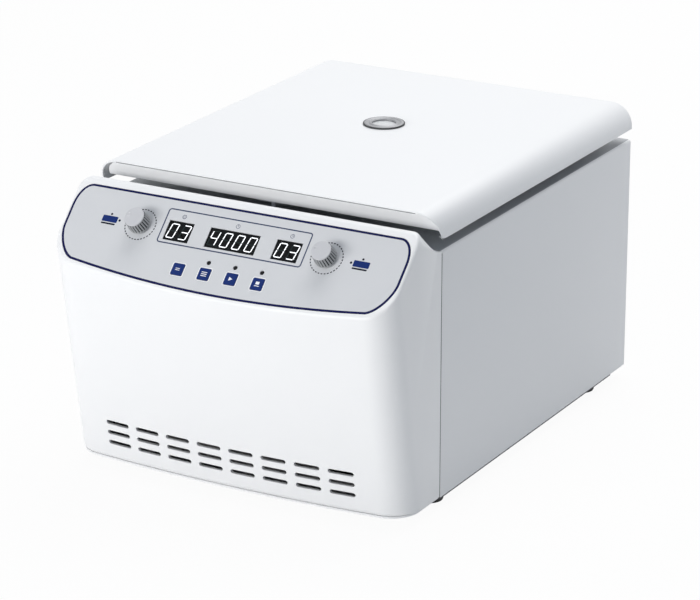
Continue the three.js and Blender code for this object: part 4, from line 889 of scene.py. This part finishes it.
# A lighter white for the inner moulding than the casing's: painted light on the front band, which the crest shades.
liner_painted_light = Finish("liner_painted_light", (0.93, 0.932, 0.935), 0.4, (0.36, 0.1, 0.02), (0.000012, 0.0007, 3))
liner_low, liner_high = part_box("lid_liner")
ends = {-1: 0.0095, 1: sheet + 0.0003}
liner = new_block("lid_inner_moulding", (ends[-1] - lid_half, lid_front - 0.01, liner_high.z - 0.03),
                  (lid_half - ends[1], lid_back, liner_high.z))
with shaping(liner):
    for side, gap in ends.items():
        softened(lambda edge: runs_along(edge, 1) and middle(edge).z > liner_high.z - 0.001
                 and middle(edge).x * side > lid_half - roll / 2, roll - gap, 16)
    halved((0, 0, liner_low.z), (0, 0, -1))
slanted(liner, 0.0014)
cut_away(liner, window_cutter(liner_low.z - 0.01))
with shaping(liner):
    softened(lambda edge: runs_along(edge, 0) and middle(edge).z < liner_low.z + 1e-5 and middle(edge).y < 0,
             0.0012, 3)
finished(liner, liner_painted_light, "white_plastic", "lid", "lid_liner")


# Sight window: a turned ring of satin nickel pressed into the lid over the rotor, in a thin black
# ring that stands for the shadow round its foot, with a clear pane that lets the rotor be watched.
def turned(name, profile, steps, *fixing):
    """A piece spun about the rotor's axis and finished."""
    return finished(spun(name, profile, (0, rotor_y, 0), steps=steps), *fixing)


satin_nickel = Finish("satin_nickel", (0.3, 0.305, 0.32), 0.45, (0.4, 0.1, 0.004, 3), (0.000006, 0.0015),
                      Metallic=0.4)
shade_ring_rubber = Finish("shade_ring_rubber", (0.04, 0.042, 0.045), 0.7, (0.62, 0.2, 0.003))
clear_pane = Finish("clear_pane", (0.92, 0.93, 0.94), 0.06, (0.03, 0.04, 0.01), Transmission_Weight=0.3, IOR=1.49)
ring_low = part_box("sight_ring")[0].z
sill = lid_top + 0.0003
ring_profile = [
    (0.0146, ring_low), (0.0146, sill), (0.0189, sill), (0.0189, sill + 0.0012), (0.0186, sill + 0.0015),
    (0.0176, sill + 0.00175), (0.0168, sill + 0.0018), (0.0160, sill + 0.0016), (0.0154, sill + 0.0011),
    (0.0144, sill + 0.0010), (0.0136, sill + 0.0015), (0.0128, sill + 0.0018), (0.0118, sill + 0.0016),
    (0.0111, sill + 0.0009), (0.0110, sill), (0.0126, sill), (0.0126, ring_low), (0.0146, ring_low),
]
turned("sight_window_ring", ring_profile, 96, satin_nickel, "chrome", "lid", "sight_ring")
# The black ring round the ring's foot is painted shade for the gap there.
shade_ring_profile = [(0.0189, sill), (0.0198, sill), (0.0199, sill + 0.0010), (0.0196, sill + 0.0013),
                   (0.0189, sill + 0.0013), (0.0189, sill)]
turned("sight_window_shade_ring", shade_ring_profile, 96, shade_ring_rubber, "rubber", "lid")
lens_low, lens_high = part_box("sight_lens")
pane_low, pane_high, pane_radius, pane_edge = lens_low.z, lens_high.z, lens_high.x, 0.0004
pane_profile = [
    (0, pane_low), (pane_radius - pane_edge, pane_low), (pane_radius, pane_low + pane_edge),
    (pane_radius, pane_high - pane_edge), (pane_radius - pane_edge, pane_high), (0, pane_high),
]
turned("sight_window_pane", pane_profile, 64, clear_pane, "clear", "lid", "sight_lens")


# Hinges: pressed steel leaves with rolled knuckles on a steel pin, one pair at each rear corner.
# Round-headed screws hold the lower leaf to the deck and the upper leaf to the lid.
def refined(node, name, finish, slot, body, edge=0.0003, smooth=30):
    """A CAD solid as a piece: its loose triangles merged, its edges softened, and finished."""
    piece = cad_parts[node].copy()
    piece.data = piece.data.copy()
    piece.data.materials.clear()
    for key in list(piece.keys()):
        del piece[key]
    piece.parent = None
    piece.name = name
    bpy.context.collection.objects.link(piece)
    with shaping(piece):
        take_all()
        bpy.ops.mesh.remove_doubles(threshold=1e-6)
        bpy.ops.mesh.dissolve_limited(angle_limit=radians(1))
    modified(piece, "BEVEL", width=edge, segments=2, limit_method="ANGLE",
             angle_limit=radians(50), use_clamp_overlap=True)
    return finished(piece, finish, slot, body, node, smooth=smooth)


def screw_heads(places, turn, radius, rise):
    """Round-headed screws with a cross in each head, standing on a face."""
    heads = []
    for place in places:
        head = spun("screw", [(0, 0), (radius, 0), (radius, rise * 0.35), (radius * 0.8, rise * 0.8),
                              (radius * 0.4, rise), (0, rise)], (0, 0, 0), steps=24)
        for wide, tall in ((1.1, 0.24), (0.24, 1.1)):
            cut_away(head, upright_block("cutter", 0, 0, wide * radius, tall * radius, rise * 0.4, rise * 2))
        heads.append(placed(head, place, turn))
    return heads


def screws(name, body, heads):
    finished(joined(name, heads), bright_steel, "steel", body)


hinge_x = 0.11
for side, sign in (("left", -1), ("right", 1)):
    for leaf, body in (("deck", "cabinet"), ("lid", "lid")):
        node = f"hinge_{leaf}_leaf_{side}"
        low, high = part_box(node)
        refined(node, f"hinge_{leaf}_leaf_part_{side}", bright_steel, "steel", body)
        level, turn = (low.z + sheet, 0) if leaf == "deck" else (high.z - sheet, pi)
        places = [(sign * hinge_x + across, low.y + along, level)
                  for across, along in ((-0.018, 0.007), (0.018, 0.007), (0, 0.014))]
        screws(f"hinge_{leaf}_screws_{side}", body, screw_heads(places, (turn, 0, 0), 0.003, 0.0014))
    refined("hinge_pin_" + side, "hinge_rod_" + side, bright_steel, "steel", "cabinet")


# Lid lock: a zinc-plated striker screwed under the lid, a black moulded lock under the deck and
# its steel bolt, which slides through the striker's window.
striker_low, striker_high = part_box("striker")
striker_y = (striker_low.y + striker_high.y) / 2
bolt_low, bolt_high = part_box("lock_bolt")
bolt_level = (bolt_low.z + bolt_high.z) / 2
half_blade = [
    (0.002, striker_high.z - 0.001), (0.002, deck + 0.0040), (0.0030, deck + 0.0022), (0.0080, deck + 0.0006),
    (0.0080, striker_low.z + 0.0015), (0.0065, striker_low.z),
]
blade = flat_sheet("lid_striker", half_blade + [(-across, up) for across, up in reversed(half_blade)],
                   -0.00125, 0.00125)
placed(blade, (0, striker_y, 0), (pi / 2, 0, 0))
cut_away(blade, new_block("cutter", (-0.0045, striker_y - 0.01, bolt_level - 0.0045),
                          (0.0045, striker_y + 0.01, bolt_level + 0.0045)))
striker_foot = new_block("foot", (striker_low.x, striker_low.y, striker_high.z - 0.002), striker_high)
with shaping(striker_foot):
    softened(lambda edge: runs_along(edge, 2), 0.002, 4)
modified(blade, "BOOLEAN", operation="UNION", solver="EXACT", object=striker_foot)
bpy.data.objects.remove(striker_foot)
finished(blade, bright_steel, "steel", "lid", "striker")
striker_places = [(across, striker_y, striker_high.z - 0.002) for across in (-0.0115, 0.0115)]
screws("striker_screws", "lid", screw_heads(striker_places, (pi, 0, 0), 0.0025, 0.0012))
black_moulding = Finish("black_moulding", (0.008, 0.0085, 0.01), 0.45, (0.38, 0.16, 0.003, 3),
                        (0.00002, 0.0005, 3), Specular_IOR_Level=0.3)
refined("lock_body", "lid_lock", black_moulding, "black_plastic", "cabinet")
refined("lock_bolt", "lid_lock_bolt", bright_steel, "steel", "bolt")


# Gasket: a grey rubber ring pressed over the edge of the deck opening. Its soft lip bears on the
# lid's inner moulding and seals the chamber.
grey_rubber = Finish("grey_rubber", (0.05, 0.053, 0.058), 0.7, (0.62, 0.2, 0.003), (0.00005, 0.0007, 4),
                     (0.01, (0.045, 0.048, 0.052), (0.06, 0.063, 0.068)))
seal_low, seal_high = (corner.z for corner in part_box("chamber_gasket"))
seal_step = deck + 0.0003
seal_profile = [
    (0.1412, seal_low), (0.1436, seal_low), (0.1436, seal_step), (0.1484, seal_step),
    (0.1490, seal_step + 0.0006), (0.1489, seal_step + 0.0034), (0.1483, seal_step + 0.0046),
    (0.1472, seal_high - 0.0012), (0.1463, seal_high - 0.0003), (0.1451, seal_high),
    (0.1440, seal_high - 0.0003), (0.1433, seal_high - 0.0014), (0.1414, seal_step + 0.0086),
    (0.1412, seal_step + 0.0076), (0.1412, seal_low),
]
turned("chamber_seal", seal_profile, 128, grey_rubber, "grey_rubber", "cabinet", "chamber_gasket")


# Chamber: a deep-drawn stainless bowl hung under the deck, brushed in rings, inside a heavy
# rolled guard ring that stands on the chassis plate.
def rings(finish, pitch):
    """Fine rings round the rotor's axis, as a brush leaves on a turning bowl."""
    moved = finish.node("ShaderNodeMapping", {}, {"Vector": finish.place, "Location": (0, -rotor_y, 0)})
    radius = finish.node("ShaderNodeVectorMath", {"operation": "LENGTH"}, {
        0: finish.node("ShaderNodeVectorMath", {"operation": "MULTIPLY"}, {0: moved, 1: (1, 1, 0)})}, "Value")
    height = finish.node("ShaderNodeSeparateXYZ", {}, {0: finish.place}, 2)
    track = finish.node("ShaderNodeCombineXYZ", {}, {0: radius * (1 / pitch), 1: height * (1 / pitch)})
    return finish.node("ShaderNodeTexNoise", {}, {"Vector": track, "Scale": 1, "Detail": 4})


brushed_bowl = Finish("brushed_bowl", (0.55, 0.56, 0.58), 0.34, (0.26, 0.16, 0.0006), (0.000012, 0.0004),
                      pattern=rings, Metallic=1.0)
floor_z, rim_z = (corner.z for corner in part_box("chamber_bowl"))
bowl_curve = (0.128, floor_z + 0.0135)
bowl_profile = [
    (0.032, floor_z), *arc(bowl_curve, 0.0135, -pi / 2, 0, 8),
    (0.1415, rim_z - 0.0015), (0.1500, rim_z - 0.0015), (0.1500, rim_z), (0.1412, rim_z),
    (0.1403, rim_z - 0.0003), (0.1400, rim_z - 0.0012),
    *arc(bowl_curve, 0.012, 0, -pi / 2, 8), (0.032, floor_z + 0.0015), (0.032, floor_z),
]
turned("chamber_bowl_drawn", bowl_profile, 128, brushed_bowl, "stainless", "cabinet", "chamber_bowl")


def dressed(finish, *nodes):
    """CAD solids that keep their shape and get their finish."""
    for node in nodes:
        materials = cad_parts[node].data.materials
        materials.clear()
        materials.append(finish.material)


rolled_steel = Finish("rolled_steel", (0.06, 0.062, 0.07), 0.5, (0.4, 0.2, 0.01, 3), (0.00003, 0.001, 4),
                      Metallic=0.6)
dressed(rolled_steel, "guard_ring")
refined("chassis_plate", "chassis_steel_plate", dark_coat, "dark_steel", "cabinet", 0.0005)


# Drive: a closed motor hung by its flange on three rubber dampers under the chassis plate, with
# cooling ribs round its can, a ribbed rubber boot and a ground steel shaft up into the bowl.
motor_low, motor_high = (corner.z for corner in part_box("motor"))
flange_low = motor_high - 0.004
can_radius, rib_foot, flange_radius, bore = 0.048, 0.0462, 0.060, 0.0082
motor_profile = [(0, motor_low), (0.040, motor_low), (0.0465, motor_low + 0.003), (can_radius, motor_low + 0.008)]
for level in (motor_low + 0.012 + rib * 0.0055 for rib in range(9)):
    motor_profile += [(can_radius, level), (rib_foot, level + 0.001), (rib_foot, level + 0.0028),
                      (can_radius, level + 0.0038)]
motor_profile += [
    (can_radius, flange_low), (0.0592, flange_low), (flange_radius, flange_low + 0.0008),
    (flange_radius, motor_high - 0.0008), (0.0592, motor_high), (bore, motor_high), (bore, flange_low),
    (0, flange_low),
]
turned("drive_motor", motor_profile, 64, dark_coat, "dark_steel", "cabinet", "motor")
for count in (1, 2, 3):
    low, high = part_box(f"motor_damper_{count}")
    tall = high.z - low.z
    damper_profile = [
        (0, 0), (0.0064, 0), (0.007, 0.0006), (0.007, 0.002), (0.0058, tall * 0.4), (0.0058, tall * 0.6),
        (0.007, tall - 0.002), (0.007, tall - 0.0006), (0.0064, tall), (0, tall),
    ]
    damper_place = ((low.x + high.x) / 2, (low.y + high.y) / 2, low.z)
    damper = spun(f"rubber_damper_{count}", damper_profile, damper_place, steps=32)
    finished(damper, black_rubber, "rubber", "cabinet", f"motor_damper_{count}")
refined("shaft_boot", "rubber_boot", black_rubber, "rubber", "cabinet", 0.0006, 50)
refined("drive_shaft", "ground_shaft", bright_steel, "steel", "rotor_set", 0.0005)


# Rotor: turned from one block of aluminium, with six slanted tube places numbered round a sunk
# middle, and held down on the shaft by a black knurled nut.
turned_aluminium = Finish("turned_aluminium", (0.56, 0.575, 0.6), 0.36, (0.28, 0.16, 0.0005), (0.000014, 0.00035),
                          pattern=rings, Metallic=1.0)
foot_z, top_z = (corner.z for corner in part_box("rotor"))
rotor_radius, shaft_radius, sunk_z, slant = 0.1130, 0.0063, top_z - 0.014, radians(25)
tube_places, tube_ring, tube_radius, tube_deep = 6, 0.063, 0.0152, 0.046
top_radius = rotor_radius - (top_z - foot_z - 0.005) * tan(slant)
rotor_profile = [
    (shaft_radius, foot_z), (0.108, foot_z), (0.1115, foot_z + 0.0012), (0.1128, foot_z + 0.0036),
    (rotor_radius, foot_z + 0.005), (top_radius + 0.0008, top_z - 0.0016), (top_radius, top_z - 0.0005),
    (top_radius - 0.0009, top_z), (0.0366, top_z), (0.036, top_z - 0.0005), (0.0304, top_z - 0.0135),
    (0.030, sunk_z), (shaft_radius, sunk_z), (shaft_radius, foot_z),
]


def at_place(piece, place, radius, level, turn):
    """A piece moved to one of the tube places, at a radius of the rotor."""
    piece.matrix_basis = (Matrix.Translation((0, rotor_y, level)) @ Matrix.Rotation(tau * place / tube_places, 4, "Z")
                          @ Matrix.Translation((radius, 0, 0)) @ turn)
    return settled(piece)


def well_cutter(place, radius, deep, floor_round=0):
    well = rod("cutter", radius, (0, 0, -deep), (0, 0, 0.018), 48)
    if floor_round:
        with shaping(well):
            softened(lambda edge: abs(middle(edge).z + deep) < 1e-4 and not runs_along(edge, 2), floor_round, 5)
    return at_place(well, place, tube_ring, top_z, Matrix.Rotation(-slant, 4, "Y"))


rotor = spun("angle_rotor", rotor_profile, (0, rotor_y, 0), steps=96)
cut_away(rotor, *[well_cutter(place, tube_radius, tube_deep, 0.007) for place in range(tube_places)])
cut_away(rotor, *[well_cutter(place, tube_radius + 0.0008, 0.0004) for place in range(tube_places)])
finished(rotor, turned_aluminium, "aluminium", "rotor_set", "rotor")

engraved = Finish("engraved_numbers", (0.02, 0.021, 0.024), 0.5, (0.45, 0.1, 0.001))
numbers = []
for place in range(tube_places):
    bpy.ops.object.select_all(action="DESELECT")
    bpy.ops.object.text_add()
    number = bpy.context.object
    number.data.body = str(place + 1)
    number.data.size = 0.007
    number.data.align_x = number.data.align_y = "CENTER"
    number.data.extrude = 0.00008
    bpy.ops.object.convert(target="MESH")
    with shaping(number):
        outwards()
    numbers.append(at_place(number, place, 0.0412, top_z + 0.00006, Matrix.Rotation(pi / 2, 4, "Z")))
finished(joined("rotor_numbers", numbers), engraved, "black_plastic", "rotor_set")

nut_low, nut_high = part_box("rotor_nut")
nut_tall, nut_steps, nut_bore = nut_high.z - nut_low.z, 96, 0.007
nut_profile = [
    (0, nut_tall - nut_bore), (shaft_radius, nut_tall - nut_bore), (shaft_radius, 0), (0.0145, 0),
    (0.0155, 0.001), (0.0155, 0.003), (0.0150, 0.0035), (0.0150, nut_tall - 0.003),
    (0.0142, nut_tall - 0.0006), (0.0130, nut_tall), (0, nut_tall),
]
nut = spun("rotor_nut_knurled", nut_profile, (0, 0, 0), steps=nut_steps)
with shaping(nut):
    pick("FACE", lambda face: 0.004 < middle(face).z < nut_tall - 0.0032 and middle(face).xy.length > 0.0145
         and sector(face, nut_steps) % 3 != 0)
    bpy.ops.mesh.inset(thickness=0.00015, depth=0.0005)
placed(nut, (0, rotor_y, nut_low.z))
finished(nut, black_moulding, "black_plastic", "rotor_set", "rotor_nut")


# Electronics: the control board behind the panel with its encoders, and the driver board with
# its finned heat sink on the base plate. Green boards with copper tracks under the varnish.
board_green = Finish("board_green", (0.012, 0.09, 0.038), 0.4, (0.34, 0.2, 0.004), (0.00001, 0.001))
tracks = board_green.node("ShaderNodeTexVoronoi", {"feature": "DISTANCE_TO_EDGE"},
                          {"Vector": board_green.place, "Scale": 260})
board_green.give("Base Color", board_green.mixed(tracks < 0.06, (0.01, 0.075, 0.032), (0.03, 0.16, 0.06)))
dressed(board_green, "control_board", "driver_board")
dressed(bright_steel, "encoder_body_left", "encoder_body_right")
dressed(black_moulding, "encoder_plunger_left", "encoder_plunger_right")


# Rear panel: a coated steel plate between the sides of the cover, folded forward along its foot,
# with the fan's slots and the cut-outs for the mains inlet, the switch and the fuse.
back_low, back_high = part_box("rear_panel")
inner_y, outer_y = back_high.y - sheet, back_high.y
inlet_x, switch_x, fuse_x, fan_x, fitting_z = 0.105, 0.072, 0.050, -0.09, 0.068
hole_front, hole_back = inner_y - 0.004, outer_y + 0.004
rear = new_block("rear_panel_folded", (back_low.x, inner_y, back_low.z), back_high)
with shaping(rear):
    halved((0, 0, back_low.z + sheet), (0, 0, 1), clear=False)
    pick("FACE", lambda face: face.normal.y < -0.9 and middle(face).z < back_low.z + sheet)
    pushed_out((0, back_low.y - inner_y, 0))
    outwards()
holes = [new_block("cutter", (x - half, hole_front, fitting_z - tall), (x + half, hole_back, fitting_z + tall))
         for x, half, tall in ((inlet_x, 0.0138, 0.0102), (switch_x, 0.0068, 0.0108))]
holes.append(rod("cutter", 0.0065, (fuse_x, hole_front, fitting_z), (fuse_x, hole_back, fitting_z), 48))
slot_radius, fan_hole = 0.002358, 0.068
holes += [slot_cutter(fan_hole / 2 - slot_radius, slot_radius, -0.006, 0.006,
                      (fan_x, outer_y - 0.001, fitting_z + (count - 3.5) * fan_hole / 7.5)) for count in range(8)]
cut_away(rear, *holes)
finished(rear, white_coat, "white_paint", "cabinet", "rear_panel")
edge_places = [(across, outer_y, level) for across in (-0.164, 0.164) for level in (0.03, 0.13, 0.225)]
fan_places = [(fan_x + side * 0.0357, outer_y, fitting_z + up * 0.0357) for side in (-1, 1) for up in (-1, 1)]
facing_back = (-pi / 2, 0, 0)
rear_heads = screw_heads(edge_places, facing_back, 0.0028, 0.0013)
rear_heads += screw_heads(fan_places, facing_back, 0.0026, 0.0012)
screws("rear_panel_screws", "cabinet", rear_heads)


# Rear fittings: a black mains inlet with three plated pins, a rocker switch with its on and off
# marks, a fuse holder with a slotted cap, and the fan in its square frame behind the slots.
inlet = refined("power_inlet", "mains_inlet", [black_moulding, bright_steel], "black_plastic", "cabinet", 0.0004)
pins_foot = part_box("power_inlet")[1].y - 0.0157
second_finish(inlet, lambda face: face.center.y > pins_foot and all(
    abs(corner.x - inlet_x) < 0.0083 and abs(corner.z - fitting_z) < 0.006
    for corner in (inlet.data.vertices[count].co for count in face.vertices)))
refined("switch_housing", "power_switch_frame", black_moulding, "black_plastic", "cabinet")
refined("switch_rocker", "power_switch_rocker", black_moulding, "black_plastic", "power_rocker", 0.0004)
on_mark = flat_sheet("bar", rounded(0, 0, 0.0007, 0.0034, 0.0003, 2), 0.0001, 0.00016)
off_mark = printed_line(circle((0, 0), 0.0017, 24), 0.00045)
for up, mark in ((1, on_mark), (-1, off_mark)):
    mark.matrix_basis = (Matrix.Translation((switch_x, outer_y + 0.0008, fitting_z))
                         @ Matrix.Rotation(radians(10 + 10 * up), 4, "X")
                         @ Matrix.Translation((0, 0.00105, up * 0.0048)) @ Matrix.Rotation(-pi / 2, 4, "X"))
    settled(mark)
finished(joined("rocker_marks", [on_mark, off_mark]), white_print, "white_paint", "power_rocker")

fuse_low, fuse_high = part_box("fuse_holder")
fuse_deep = fuse_high.y - fuse_low.y
fuse_profile = [
    (0, 0), (0.0062, 0), (0.0062, fuse_deep - 0.005), (0.0073, fuse_deep - 0.005), (0.0075, fuse_deep - 0.0046),
    (0.0075, fuse_deep - 0.0012), (0.0069, fuse_deep - 0.0003), (0.0062, fuse_deep), (0, fuse_deep),
]
fuse = spun("fuse_cap_and_holder", fuse_profile, (fuse_x, fuse_low.y, fitting_z), facing_back)
cut_away(fuse, new_block("cutter", (fuse_x - 0.005, fuse_high.y - 0.0012, fitting_z - 0.0007),
                         (fuse_x + 0.005, fuse_high.y + 0.002, fitting_z + 0.0007)))
finished(fuse, black_moulding, "black_plastic", "cabinet", "fuse_holder")
refined("fan_frame", "fan_square_frame", black_moulding, "black_plastic", "cabinet", 0.0005)
refined("fan_impeller", "fan_blades_and_hub", black_moulding, "black_plastic", "fan_rotor")
